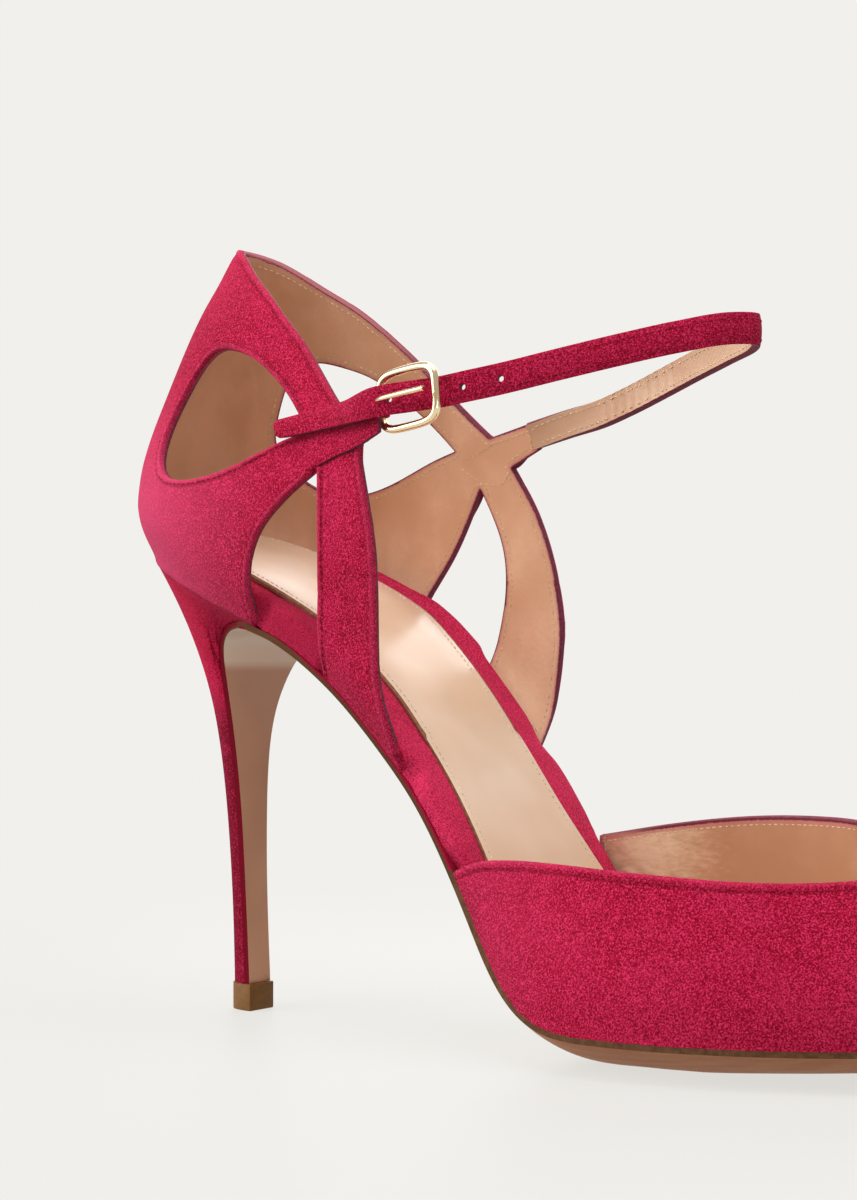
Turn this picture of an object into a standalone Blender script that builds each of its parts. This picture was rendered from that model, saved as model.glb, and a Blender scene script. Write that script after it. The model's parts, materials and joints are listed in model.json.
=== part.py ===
"""Pointed toe pump with crossing quarter bands, an ankle strap and a stiletto heel.

A right shoe in metres, +Z up, +X to the toe, the outer side at -Y. It stands on its top lift and tread.
Stations are millimetres forward of the rearmost point of the heel counter.
"""
import math

import bmesh
import bpy
import numpy as np
from mathutils import Vector
from mathutils.geometry import delaunay_2d_cdt

MM = 0.001

# Driving dimensions in millimetres
LENGTH = 235.0
GAP = 0.3
UPPER_WALL = 2.0
VAMP_WALL = 1.8
LIFT_HEIGHT = 6.2
LIFT_HALF_WIDTH = 4.3
LIFT_FRONT = 29.3
LIFT_BACK = 21.4
LIFT_BEVEL = 0.5
SIDE_HALF_WIDTH = 33.0
SEAM_TUCK = 4.5
SEAM_RISE = 12.0
HEEL_ROUND = 36.0
STRAP_WIDTH = 6.2
STRAP_THICKNESS = 1.8
STRAP_FLARE_START = 75.0
STRAP_FLARE = 0.07
FLAP_THICKNESS = 1.5
TOE_SWING = 3.0
TOE_SWING_START = 125.0
SOCK_THICKNESS = 0.9
SOCK_MARGIN = 2.0
COVERED_INSET = UPPER_WALL + GAP
OPEN_INSET = 0.1
INSET_CHANGE = 1.5
FOREPART_SLANT = 1.15
EDGE_LEAST = 0.9
TREAD_SHARE = 0.33
HEEL_TIP = 50.0
HEEL_TIP_EDGE = 0.4
HEEL_CORNER = 26.0
UPPER_PITCH = 4.7
SOLE_STEP = 5.0
WAIST_STEP = 2.0
MERGE = 0.02
SHARP_ANGLE = 40.0

# The bed line: top of heel seat and outsole along the side, from the counter to the toe.
# station, height
BED = (
    (0.0, 105.4), (4.6, 105.0), (14.0, 102.9), (23.0, 100.0), (33.0, 96.2), (41.0, 92.9),
    (50.0, 89.2), (59.7, 84.6), (69.7, 77.9), (75.7, 73.0), (81.7, 67.2), (90.6, 57.7),
    (95.3, 52.0), (99.4, 45.8), (104.4, 37.4), (109.3, 29.2), (114.5, 20.9), (120.5, 14.1),
    (125.5, 10.5), (131.5, 8.5), (139.0, 7.8), (155.0, 7.8), (180.0, 8.0), (205.0, 8.7),
    (235.0, 10.4),
)

# Half width of the sole forward of the waist: station, half width
FOREPART = (
    (98.0, 28.5), (104.0, 28.9), (110.0, 30.0), (119.0, 33.0), (130.0, 35.9), (140.0, 37.1),
    (148.0, 37.2), (156.0, 36.5), (165.0, 34.7), (175.0, 31.8), (185.0, 27.8), (195.0, 23.2),
    (205.0, 18.3), (215.0, 13.3), (224.0, 8.8), (230.0, 5.6), (233.3, 3.4), (234.6, 1.9), (235.0, 0.9),
)

# Outsole leather: station, thickness at the edge, depth of the middle, hollow of the upper face
SOLE_LAYER = (
    (50.0, 1.3, 1.5, 0.0), (90.0, 1.3, 1.8, 0.0), (108.0, 1.3, 2.6, 0.5), (118.0, 1.3, 5.2, 2.0),
    (126.0, 1.2, 7.9, 3.8), (132.0, 1.2, 8.7, 4.4), (152.0, 1.2, 8.4, 4.4), (170.0, 1.2, 7.3, 3.6),
    (195.0, 1.2, 5.7, 2.4), (220.0, 1.2, 4.1, 1.2), (235.0, 1.2, 3.2, 0.6),
)

# The outsole's leather behind the shank, turning down the heel breast: station, height, half width
BREAST = (
    (46.0, 89.5, 25.5), (41.0, 90.0, 22.5), (36.0, 89.7, 19.6), (31.5, 87.9, 17.0), (28.4, 84.3, 14.5),
    (26.6, 79.5, 11.9), (25.3, 72.0, 8.7), (24.9, 64.0, 6.6), (25.1, 55.0, 5.3), (25.5, 45.0, 4.5),
    (25.9, 33.0, 4.0), (26.5, 20.0, 3.8), (27.2, 6.6, 3.8),
)
BREAST_CORNER = 6

# Insole board and sock: station, board thickness, half width of the sock on its outer and inner side
INSOLE_LAYER = (
    (5.0, 6.0, 20.0, 20.0), (20.0, 6.4, 23.0, 23.0), (45.0, 6.4, 24.0, 24.0), (57.0, 6.0, 23.0, 23.4),
    (64.0, 5.6, 20.9, 21.2), (78.0, 4.9, 19.2, 17.6), (88.0, 4.3, 20.4, 15.4), (96.0, 3.8, 21.2, 14.6),
    (104.0, 3.7, 22.0, 18.0), (110.0, 3.5, 23.2, 21.6), (120.0, 3.2, 26.4, 25.5), (140.0, 2.8, 31.0, 31.0),
    (175.0, 2.6, 26.0, 26.0), (205.0, 2.4, 13.0, 13.0), (228.0, 2.4, 3.0, 3.0),
)

# Stretches of the insole's edge that the upper covers: side, first station, last station
COVERED = (
    (-1, -10.0, 52.0), (-1, 69.6, 92.0), (-1, 103.4, 240.0),
    (1, -10.0, 54.5), (1, 71.0, 89.6), (1, 102.0, 240.0),
)

# Back of the counter and half width of its sides: height, station of the back, half width
COUNTER = (
    (50.0, 5.4, 33.0), (90.0, 5.4, 33.0), (105.0, 4.6, 33.0), (112.0, 1.5, 32.8), (118.5, 0.0, 31.9),
    (125.0, 0.2, 30.4), (133.0, 1.9, 28.1), (143.0, 5.2, 24.7), (150.0, 7.9, 22.6), (157.0, 11.0, 20.8),
    (163.0, 13.8, 18.5), (170.0, 17.5, 14.9), (175.0, 20.5, 12.0), (178.0, 22.2, 10.4),
)

# Half patterns of the back quarter, in side view: station, height
COLLAR_EDGE = (
    (75.7, 133.4), (73.0, 136.1), (68.5, 140.9), (63.0, 147.0), (58.6, 151.9), (53.3, 156.8), (49.0, 160.9),
    (44.0, 165.2), (38.2, 169.2), (33.4, 172.6), (28.0, 176.0), (24.4, 177.6), (22.2, 178.0),
)
TEARDROP_REAR = (
    (65.4, 130.9), (61.5, 135.6), (56.6, 140.6), (51.2, 145.0), (46.0, 148.5), (40.0, 151.0), (33.0, 152.2),
    (27.8, 148.8), (24.0, 142.7), (21.3, 136.3), (20.3, 129.5), (21.2, 125.6), (24.8, 122.8), (30.8, 121.6),
    (37.5, 122.0), (45.0, 123.8), (52.5, 126.6), (58.0, 128.7), (65.4, 130.9),
)
LATERAL = {
    "counter_end": 51.0,
    "band_edge": ((51.2, 95.5), (51.8, 101.0), (53.0, 105.7), (55.2, 110.0), (59.5, 114.5), (64.7, 119.0),
                  (70.0, 122.6)),
    "strap_rear": ((70.0, 122.6), (71.2, 114.6), (71.7, 103.0), (71.7, 91.0), (71.4, 84.0)),
    "strap_base": (70.6, 91.1),
    "strap_front": ((90.0, 67.1), (88.3, 73.0), (87.6, 80.3), (87.4, 89.0), (87.2, 98.0), (86.4, 107.0),
                    (84.0, 116.2), (80.3, 126.2)),
    "band_end": ((82.6, 127.6), (82.6, 135.0)),
}
MEDIAL = {
    "counter_end": 52.8,
    "band_edge": ((54.0, 95.0), (57.0, 99.4), (61.6, 105.7), (66.4, 114.0), (71.0, 121.8)),
    "strap_rear": ((71.0, 121.8), (74.2, 113.5), (76.4, 106.0), (76.8, 99.0), (75.8, 90.8), (73.6, 82.6)),
    "strap_base": (72.2, 88.2),
    "strap_front": ((88.6, 66.0), (89.6, 71.7), (91.1, 81.2), (91.6, 88.5), (90.6, 96.8), (88.2, 107.0),
                    (84.5, 117.3), (80.2, 126.4)),
    "band_end": ((88.0, 130.0), (88.0, 136.4)),
}

# The vamp, a row for each fan line from the sole's edge up to the topline:
# station at the sole, station of the topline, its half width, outer side's height, inner side's height
VAMP = (
    (104.6, 105.2, 28.6, 38.3, 42.3), (110.0, 109.8, 28.4, 40.0, 43.1), (118.0, 118.0, 29.2, 40.8, 44.6),
    (130.0, 130.0, 30.9, 40.8, 46.4), (145.0, 143.0, 31.4, 40.2, 47.7), (160.0, 156.0, 30.0, 39.5, 48.2),
    (175.0, 168.0, 26.8, 38.9, 48.0), (190.0, 178.0, 22.0, 38.8, 46.7), (204.0, 185.5, 16.4, 39.1, 44.6),
    (217.0, 190.5, 10.6, 39.6, 42.4), (227.0, 193.2, 5.0, 40.2, 41.0), (234.6, 194.0, 0.8, 40.4, 40.5),
)
VAMP_LINE_STEP = 4.2
VAMP_RISE_POINTS = 8
TOE_BULGE = 1.4
RISE_START = 0.30
TOPLINE_LEAN = 0.45

# Rear of the heel below its flare: height, station
HEEL_BACK = ((6.6, 22.0), (17.0, 21.8), (30.0, 21.2), (41.0, 20.4), (51.0, 19.5), (61.0, 18.4), (72.0, 16.8))
HEEL_RINGS = (64.0, 55.0, 45.0, 33.0, 20.0, 6.6)
HEEL_FLARE = ((0.30, 0.22), (0.74, 0.57))
FLARE_SHARES = (0.0, 0.12, 0.26, 0.42, 0.6, 0.8, 1.0)
HEEL_SIDE_POINTS = 15

# Middle line of the ankle strap, from the inner band round the front and through the buckle to its free end:
# station, side, height, lean of its face in degrees
ANKLE_STRAP = (
    (89.2, 27.7, 133.5, 13.0), (96.0, 28.5, 135.2, 7.0), (104.5, 28.7, 137.0, 0.0),
    (114.0, 25.4, 139.0, 0.0), (125.5, 20.6, 141.7, 0.0), (136.5, 15.6, 144.3, 0.0),
    (147.6, 10.4, 146.7, 0.0), (155.8, 5.6, 148.2, 0.0), (159.0, 0.0, 148.5, 0.0),
    (155.8, -5.6, 148.2, 0.0), (147.6, -10.4, 146.7, 0.0), (136.5, -15.6, 144.3, 0.0),
    (125.5, -20.6, 141.7, 0.0), (114.0, -25.4, 139.0, 0.0), (107.0, -28.2, 137.6, 0.0),
    (102.4, -29.4, 136.8, 0.0), (95.5, -31.6, 136.0, 0.0), (90.0, -33.3, 135.4, 0.0),
    (86.4, -33.9, 135.0, 3.0), (82.0, -33.1, 134.5, 8.0), (77.5, -31.1, 134.0, 13.0),
    (72.0, -29.8, 133.4, 16.0), (65.0, -29.9, 132.5, 16.0), (57.0, -30.5, 131.8, 15.0),
)
STRAP_STEP = 3.2
STRAP_EDGE = 0.45
STRAP_TIP = 0.1

# Buckle: plain oval ring, prong and the leather loop that holds its rear bar
BUCKLE_CENTRE = (94.6, -31.4, 135.9)
BUCKLE_LENGTH = 18.6
BUCKLE_HEIGHT = 14.0
BUCKLE_STOCK = 2.0
BUCKLE_TURN = 9.0
BUCKLE_PITCH = 6.0
BUCKLE_POINTS = 36
BUCKLE_SQUARENESS = 0.5
PRONG_STOCK = 1.2
PRONG_HOLE = 2.4
HOOK_POINTS = 8
LOOP_LEATHER = 0.8
LOOP_WIDTH = 5.4
LOOP_SLOT = 1.9
LOOP_EDGE = 0.2
SLOT_DEPTH = 8.0
SLOT_ENDS = (-2.6, 6.0)
# Prong past its hook: distance forward of the rear bar, distance outward of it
PRONG = ((1.7, 2.9), (3.2, 4.2), (5.0, 4.75), (10.0, 4.9), (17.3, 4.5))
# Loop's inner leg and outer leg behind the bar: distance forward of the bar, distance outward of it, lean
LOOP_INNER = ((-3.1, -1.75, 10.0), (-2.0, -1.72, 5.0))
LOOP_OUTER = ((-2.0, 1.60, 0.0), (-4.0, 0.95, 7.0), (-6.2, -0.05, 14.0))

SUEDE = ("raspberry_suede", (0.52, 0.014, 0.065), 0.95, 0.0)
SOCK_LEATHER = ("nude_leather", (0.80, 0.58, 0.43), 0.55, 0.0)
SOLE_LEATHER = ("sole_leather", (0.60, 0.40, 0.27), 0.5, 0.0)
LIFT_RUBBER = ("lift_brown", (0.16, 0.075, 0.03), 0.6, 0.0)
PALE_GOLD = ("pale_gold", (0.83, 0.66, 0.42), 0.25, 1.0)


def smooth(table, x, column=1):
    """Monotone cubic through a table's first column and the given one, held at both ends."""
    rows = np.array(table, float)
    xs, ys = rows[:, 0], rows[:, column]
    step = np.diff(xs)
    slope = np.diff(ys) / step
    tangent = np.concatenate(([slope[0]], np.zeros(len(xs) - 2), [slope[-1]]))
    for i in range(1, len(xs) - 1):
        if slope[i - 1] * slope[i] > 0:
            tangent[i] = 2 * slope[i - 1] * slope[i] / (slope[i - 1] + slope[i])
    x = min(max(x, xs[0]), xs[-1])
    i = min(max(int(np.searchsorted(xs, x)) - 1, 0), len(step) - 1)
    t = (x - xs[i]) / step[i]
    rise = ys[i + 1] - ys[i]
    bend_a = step[i] * tangent[i] - rise
    bend_b = rise - step[i] * tangent[i + 1]
    return float(ys[i] + t * rise + t * (1 - t) * ((1 - t) * bend_a + t * bend_b))


def spline(points, spacing):
    """Points about the given spacing apart on a smooth curve through the given ones."""
    knots = np.array(points, float)
    length = np.concatenate(([0.0], np.cumsum(np.linalg.norm(np.diff(knots, axis=0), axis=1))))
    count = max(2, int(round(length[-1] / spacing)) + 1)
    slope = np.gradient(knots, length, axis=0)
    result = []
    for at in np.linspace(0.0, length[-1], count):
        i = min(max(int(np.searchsorted(length, at)) - 1, 0), len(knots) - 2)
        span = length[i + 1] - length[i]
        t = (at - length[i]) / span
        rise = knots[i + 1] - knots[i]
        bend_a = span * slope[i] - rise
        bend_b = rise - span * slope[i + 1]
        result.append(knots[i] + t * rise + t * (1 - t) * ((1 - t) * bend_a + t * bend_b))
    return result


def world(station, side, height):
    return ((station - LENGTH / 2) * MM, side * MM, height * MM)


def bed(station):
    return smooth(BED, station)


def bed_frame(station):
    """A point of the bed line and the unit direction up out of it, in side view."""
    reach = 0.5
    run = min(station + reach, LENGTH) - max(station - reach, 0.0)
    rise = bed(min(station + reach, LENGTH)) - bed(max(station - reach, 0.0))
    size = math.hypot(run, rise)
    return (station, bed(station)), (-rise / size, run / size)


def heel_round(station, height, inset=0.0):
    """Share of the full half width that the rounded back of the heel leaves at a station."""
    share = (station - smooth(COUNTER, height, 1) - inset) / (HEEL_ROUND - inset)
    share = min(max(share, 0.0), 1.0)
    return math.sqrt(max(0.0, 1.0 - (1.0 - share) ** 2))


def wall_half_width(station, height):
    """Half width of the back quarter's outer face."""
    lift = max(0.0, 1.0 - (height - bed(station)) / SEAM_RISE)
    flare = STRAP_FLARE * max(0.0, station - STRAP_FLARE_START)
    side = smooth(COUNTER, height, 2) - SEAM_TUCK * lift ** 2 + flare * (1.0 - lift)
    return side * heel_round(station, height)


def sole_half_width(station, inset=0.0):
    """Half width of the sole's edge, where the upper stands on it, or of a line inset from that edge."""
    if station < FOREPART[0][0]:
        return (SIDE_HALF_WIDTH - SEAM_TUCK - inset) * heel_round(station, bed(station), inset)
    return max(smooth(FOREPART, station) - inset * FOREPART_SLANT, EDGE_LEAST)


def toe_swing(station):
    """The forepart's lean towards the inner side."""
    share = max(0.0, (station - TOE_SWING_START) / (LENGTH - TOE_SWING_START))
    return TOE_SWING * share ** 2


def material(name, colour, roughness, metallic):
    found = bpy.data.materials.get(name)
    if found:
        return found
    made = bpy.data.materials.new(name)
    made.use_nodes = True
    shader = made.node_tree.nodes["Principled BSDF"]
    shader.inputs["Base Color"].default_value = (*colour, 1.0)
    shader.inputs["Roughness"].default_value = roughness
    shader.inputs["Metallic"].default_value = metallic
    return made


def add_object(name, data, finish, collection):
    made = bpy.data.objects.new(name, data)
    data.materials.append(material(*finish))
    collection.objects.link(made)
    return made


def mesh_object(name, points, faces, finish, collection, closed=True):
    mesh = bpy.data.meshes.new(name)
    mesh.from_pydata([world(*point) for point in points], [], faces)
    body = bmesh.new()
    body.from_mesh(mesh)
    bmesh.ops.remove_doubles(body, verts=body.verts, dist=MERGE * MM)
    if closed:
        bmesh.ops.recalc_face_normals(body, faces=body.faces)
    body.to_mesh(mesh)
    body.free()
    mesh.shade_smooth()
    mesh.set_sharp_from_angle(angle=math.radians(SHARP_ANGLE))
    return add_object(name, mesh, finish, collection)


def loft(name, rings, finish, collection):
    """A closed body through rings of like count, its ends closed by strips across each end ring."""
    count = len(rings[0])
    points = [point for ring in rings for point in ring]
    faces = []
    for r in range(len(rings) - 1):
        for k in range(count):
            after = (k + 1) % count
            faces.append((r * count + k, r * count + after, (r + 1) * count + after, (r + 1) * count + k))
    for first in (0, (len(rings) - 1) * count):
        for k in range((count - 1) // 2):
            corners = (first + k, first + k + 1, first + count - 2 - k, first + count - 1 - k)
            faces.append(tuple(dict.fromkeys(corners)))
    return mesh_object(name, points, faces, finish, collection)


def shell(name, points, faces, wall, finish, collection):
    """An open outer face given its wall thickness on the inside."""
    made = mesh_object(name, points, faces, finish, collection, closed=False)
    solid = made.modifiers.new("Wall", "SOLIDIFY")
    solid.thickness = wall * MM
    solid.offset = -1.0
    solid.use_even_offset = True
    return made


def sole_stations():
    """Stations of the sole's sections, closer together at the toe's point."""
    toe = [LENGTH - back for back in (0.0, 0.4, 1.7, 3.8, 7.0, 11.0)]
    return toe + [float(station) for station in np.arange(toe[-1] - SOLE_STEP, HEEL_TIP + 3.0, -SOLE_STEP)]


def rounded_stations(first, last, count):
    """Stations round the back of the heel, closer together at the first."""
    return [first + (last - first) * (1.0 - math.cos(math.pi / 2 * k / count)) for k in range(count + 1)]


def sole_path():
    """The bed line from toe to waist, then the leather's line down the breast, with the direction up."""
    points = [(station, bed(station)) for station in sole_stations()]
    points += [(station, height) for station, height, _ in BREAST]
    run = np.gradient(np.array(points), axis=0)
    path = []
    for (station, height), (along, rise) in zip(points, run):
        size = math.hypot(along, rise)
        path.append((station, height, rise / size, -along / size))
    return path


def crown(share):
    """Share of the sole's full depth across its width: flat in the middle, falling away to the edges."""
    return 1.0 - (max(0.0, abs(share) - TREAD_SHARE) / (1.0 - TREAD_SHARE)) ** 2


def make_outsole(collection):
    shares = [math.sin(math.radians(angle)) for angle in (-90, -64, -45, -30, -15, 15, 30, 45, 64, 90)]
    forward = len(sole_stations())
    rings = []
    for index, (station, height, up_x, up_z) in enumerate(sole_path()):
        swing = toe_swing(station)
        if index < forward:
            half = sole_half_width(station)
            edge, depth, hollow = (smooth(SOLE_LAYER, station, column) for column in (1, 2, 3))
        else:
            half = BREAST[index - forward][2]
            edge, depth, hollow = FLAP_THICKNESS, FLAP_THICKNESS, 0.0
        lower = []
        upper = []
        for share in shares:
            below = edge + (depth - edge) * crown(share)
            above = hollow * (1.0 - share ** 2)
            lower.append((station - up_x * below, swing + share * half, max(0.0, height - up_z * below)))
            upper.append((station - up_x * above, swing + share * half, height - up_z * above))
        rings.append(lower + upper[::-1])
    return loft("outsole", rings, SOLE_LEATHER, collection)


def edge_inset(side, station):
    """How far the insole's edge stays inside the sole's: more where the upper covers it."""
    cover = 0.0
    for covered_side, first, last in COVERED:
        if covered_side == side:
            inside = min(station - first, last - station)
            cover = max(cover, min(max(inside / INSET_CHANGE + 1.0, 0.0), 1.0))
    return OPEN_INSET + (COVERED_INSET - OPEN_INSET) * cover


def layer_point(station, side, above):
    """A point above the outsole's hollow upper face, measured out of the bed line."""
    (bed_x, bed_z), (up_x, up_z) = bed_frame(station)
    share = (side - toe_swing(station)) / sole_half_width(station)
    above -= smooth(SOLE_LAYER, station, 3) * (1.0 - share ** 2)
    return (bed_x + up_x * above, side, bed_z + up_z * above)


def layer_loft(name, stations, section, thickness, base, half_width, finish, collection):
    """A layer of the bed; section rows are share of half width, share of thickness."""
    rings = []
    for station in stations:
        widths = {side: half_width(side, station) for side in (-1, 1)}
        swing = toe_swing(station)
        ring = []
        for share, rise in section:
            side = swing + share * widths[1 if share > 0 else -1]
            ring.append(layer_point(station, side, base(station) + rise * thickness(station)))
        rings.append(ring)
    return loft(name, rings, finish, collection)


INSOLE_SECTION = (
    (-1.0, 0.42), (-0.99, 0.0), (-0.6, 0.0), (-0.2, 0.0), (0.2, 0.0), (0.6, 0.0), (0.99, 0.0), (1.0, 0.42),
    (1.0, 0.75), (0.955, 1.0), (0.6, 1.0), (0.2, 1.0), (-0.2, 1.0), (-0.6, 1.0), (-0.955, 1.0), (-1.0, 0.75),
)
SOCK_SECTION = (
    (-1.0, 0.0), (-0.6, 0.0), (-0.2, 0.0), (0.2, 0.0), (0.6, 0.0), (1.0, 0.0),
    (1.0, 1.0), (0.6, 1.0), (0.2, 1.0), (-0.2, 1.0), (-0.6, 1.0), (-1.0, 1.0),
)


def insole_thickness(station):
    return smooth(INSOLE_LAYER, station, 1)


def insole_half_width(side, station):
    return sole_half_width(station, edge_inset(side, station))


def make_insole(collection):
    heel = rounded_stations(7.3, 45.0, 9)
    waist = [float(station) for station in np.arange(HEEL_TIP, 112.0, WAIST_STEP)]
    toe = [station for station in sole_stations()[::-1] if 113.0 < station < LENGTH - 5.5]
    return layer_loft("insole", heel + waist + toe, INSOLE_SECTION, insole_thickness, lambda station: GAP,
                      insole_half_width, SUEDE, collection)


def make_sock(collection):
    heel = rounded_stations(9.6, 45.0, 9)
    waist = [float(station) for station in np.arange(HEEL_TIP, 112.0, 2 * WAIST_STEP)]
    toe = [station for station in sole_stations()[::-1] if 113.0 < station < LENGTH - 10.0]

    def half_width(side, station):
        inner = sole_half_width(station, COVERED_INSET + SOCK_MARGIN)
        return min(inner, smooth(INSOLE_LAYER, station, 2 if side < 0 else 3))

    def base(station):
        return insole_thickness(station) + 2 * GAP

    return layer_loft("sock", heel + waist + toe, SOCK_SECTION, lambda station: SOCK_THICKNESS, base,
                      half_width, SOCK_LEATHER, collection)


def bezier(t, first, second, third, last):
    rest = 1.0 - t
    return rest ** 3 * first + 3 * t * rest ** 2 * second + 3 * t ** 2 * rest * third + t ** 3 * last


def vamp_line(row, side):
    """Points of one fan line of the vamp from the sole's edge up to the topline."""
    foot_x, top_x, top_half, outer_height, inner_height = row
    slope = (sole_half_width(min(foot_x + 1.0, LENGTH)) - sole_half_width(foot_x - 1.0)) / 2.0
    outward = np.array((-slope, side, 0.0)) / math.hypot(slope, 1.0)
    foot = np.array((foot_x, toe_swing(foot_x) + side * sole_half_width(foot_x), bed(foot_x) + GAP))
    top_height = outer_height if side < 0 else inner_height
    top = np.array((top_x, toe_swing(top_x) + side * top_half, top_height))
    rise = np.array((0.0, 0.0, top[2] - foot[2]))
    across = (foot - top) * (1.0, 1.0, 0.0)
    low = foot + rise * RISE_START + outward * TOE_BULGE * min(1.0, rise[2] / 20.0)
    high = top + across * TOPLINE_LEAN - rise * RISE_START
    line = []
    for t in np.linspace(0.0, 1.0, VAMP_RISE_POINTS):
        line.append(tuple(bezier(t, foot, low, high, top)))
    return line


def grid_faces(rows, columns):
    faces = []
    for r in range(rows - 1):
        for c in range(columns - 1):
            at = r * columns + c
            faces.append((at, at + columns, at + columns + 1, at + 1))
    return faces


def make_vamp(collection):
    rows = spline(VAMP, VAMP_LINE_STEP)
    lines = [vamp_line(row, -1) for row in rows] + [vamp_line(row, 1) for row in rows[::-1]]
    points = [point for line in lines for point in line]
    return shell("vamp", points, grid_faces(len(lines), VAMP_RISE_POINTS), VAMP_WALL, SUEDE, collection)


def heel_arc(height):
    """Stations along the rounded back at a height, and their unrolled places short of its front end."""
    back, half = smooth(COUNTER, height, 1), smooth(COUNTER, height, 2)
    angle = np.linspace(0.0, math.pi / 2, 48)
    stations = back + HEEL_ROUND * (1.0 - np.cos(angle))
    length = np.hypot(np.diff(stations), np.diff(half * np.sin(angle)))
    unrolled = back + HEEL_ROUND - np.concatenate((np.cumsum(length[::-1])[::-1], [0.0]))
    return stations, unrolled


def unroll(station, height):
    """Flat pattern place of a point of the back quarter given in side view."""
    stations, unrolled = heel_arc(height)
    if station >= stations[-1]:
        return (station, height)
    return (float(np.interp(station, stations, unrolled)), height)


def wrap(place, height, side):
    """The point of the back quarter's outer face for a place on its flat pattern."""
    stations, unrolled = heel_arc(height)
    station = place
    if place < stations[-1]:
        station = float(np.interp(place, unrolled, stations))
    return (station, side * wall_half_width(station, height), height)


def base_line(first, last, count):
    return [(station, bed(station) + GAP) for station in np.linspace(first, last, count)]


def quarter_outline(half):
    """Closed outline of half of the back quarter on its flat pattern, from the back seam's foot."""
    foot = bed(COUNTER[2][1]) + GAP
    back = [(smooth(COUNTER, height, 1), height) for height in np.linspace(COLLAR_EDGE[-1][1], foot, 18)]
    seat = [(station, bed(station) + GAP) for station in rounded_stations(5.2, 48.0, 10)]
    counter_end = base_line(half["counter_end"], half["counter_end"], 1)
    strap_foot = base_line(*half["strap_base"], 7)
    edges = (
        spline(counter_end + list(half["band_edge"]), UPPER_PITCH),
        spline(list(half["strap_rear"]) + strap_foot[:1], UPPER_PITCH),
        strap_foot,
        spline(strap_foot[-1:] + list(half["strap_front"]), UPPER_PITCH),
        spline((half["strap_front"][-1], half["band_end"][0]), UPPER_PITCH),
        spline(half["band_end"], UPPER_PITCH),
        spline((half["band_end"][1], COLLAR_EDGE[0]), UPPER_PITCH),
        spline(COLLAR_EDGE, UPPER_PITCH),
        back,
    )
    outline = list(seat)
    for edge in edges:
        outline += [tuple(point) for point in edge[:-1]]
    outline.append(back[-1])
    return [unroll(*point) for point in outline]


def inside(point, loop):
    """Whether a point lies inside a closed loop."""
    x, y = point
    result = False
    for (x1, y1), (x2, y2) in zip(loop, loop[1:] + loop[:1]):
        if (y1 > y) != (y2 > y) and x < x1 + (y - y1) * (x2 - x1) / (y2 - y1):
            result = not result
    return result


def clear_of(point, loops, distance):
    corners = np.array([corner for loop in loops for corner in loop])
    return np.min(np.hypot(corners[:, 0] - point[0], corners[:, 1] - point[1])) > distance


def fill_pattern(outline, hole, pitch):
    """Triangles that fill an outline around a hole, on a staggered grid."""
    loops = (outline, hole)
    places = list(outline) + list(hole)
    edges = []
    first = 0
    for loop in loops:
        edges += [(first + k, first + (k + 1) % len(loop)) for k in range(len(loop))]
        first += len(loop)
    low = np.min(outline, axis=0)
    high = np.max(outline, axis=0)
    row_step = pitch * math.sqrt(3) / 2
    for row, height in enumerate(np.arange(low[1], high[1], row_step)):
        for place in np.arange(low[0] + pitch / 2 * (row % 2), high[0], pitch):
            point = (float(place), float(height))
            if inside(point, outline) and not inside(point, hole) and clear_of(point, loops, pitch * 0.62):
                places.append(point)
    filled = delaunay_2d_cdt([Vector(place) for place in places], edges, [], 0, 1e-5)
    kept = []
    for face in filled[2]:
        middle = sum((filled[0][k] for k in face), Vector((0.0, 0.0))) / len(face)
        if inside(middle, outline) and not inside(middle, hole):
            kept.append(tuple(face))
    return [tuple(place) for place in filled[0]], kept


def make_back_quarter(collection):
    hole = [unroll(*point) for point in spline(TEARDROP_REAR, UPPER_PITCH * 0.8)[:-1]]
    points = []
    faces = []
    for side, half in ((-1, LATERAL), (1, MEDIAL)):
        places, triangles = fill_pattern(quarter_outline(half), hole, UPPER_PITCH)
        first = len(points)
        points += [wrap(place, height, side) for place, height in places]
        for triangle in triangles:
            corners = triangle if side < 0 else triangle[::-1]
            faces.append(tuple(first + k for k in corners))
    return shell("back_quarter", points, faces, UPPER_WALL, SUEDE, collection)


def heel_columns():
    """Columns of one side of the heel's flare, from its front tip to the back: seat point and foot point."""
    path = sole_path()[len(sole_stations()):]
    lower = [(HEEL_TIP, bed(HEEL_TIP) - HEEL_TIP_EDGE, sole_half_width(HEEL_TIP) - HEEL_TIP_EDGE)]
    for (station, height, up_x, up_z), row in list(zip(path, BREAST))[:BREAST_CORNER + 1]:
        lower.append((station + up_x * GAP, height + up_z * GAP, row[2]))
    fronts = [(station, bed(station)) for station in np.linspace(HEEL_TIP, HEEL_CORNER, len(lower))]
    back = smooth(COUNTER, bed(BED[1][0]), 1)
    start = math.acos(1.0 - (HEEL_CORNER - back) / HEEL_ROUND)
    ring = heel_ring(lower[-1][1], HEEL_SIDE_POINTS - len(lower))
    columns = []
    for (seat_x, seat_z), (foot_x, foot_z, foot_half) in zip(fronts, lower):
        columns.append(((seat_x, sole_half_width(seat_x), seat_z), (foot_x, foot_half, foot_z)))
    for k, foot in enumerate(ring[1:], start=1):
        seat_x = back + HEEL_ROUND * (1.0 - math.cos(start * (1.0 - k / (len(ring) - 1))))
        columns.append(((seat_x, sole_half_width(seat_x), bed(seat_x)), foot))
    return columns, len(lower) - 1


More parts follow.
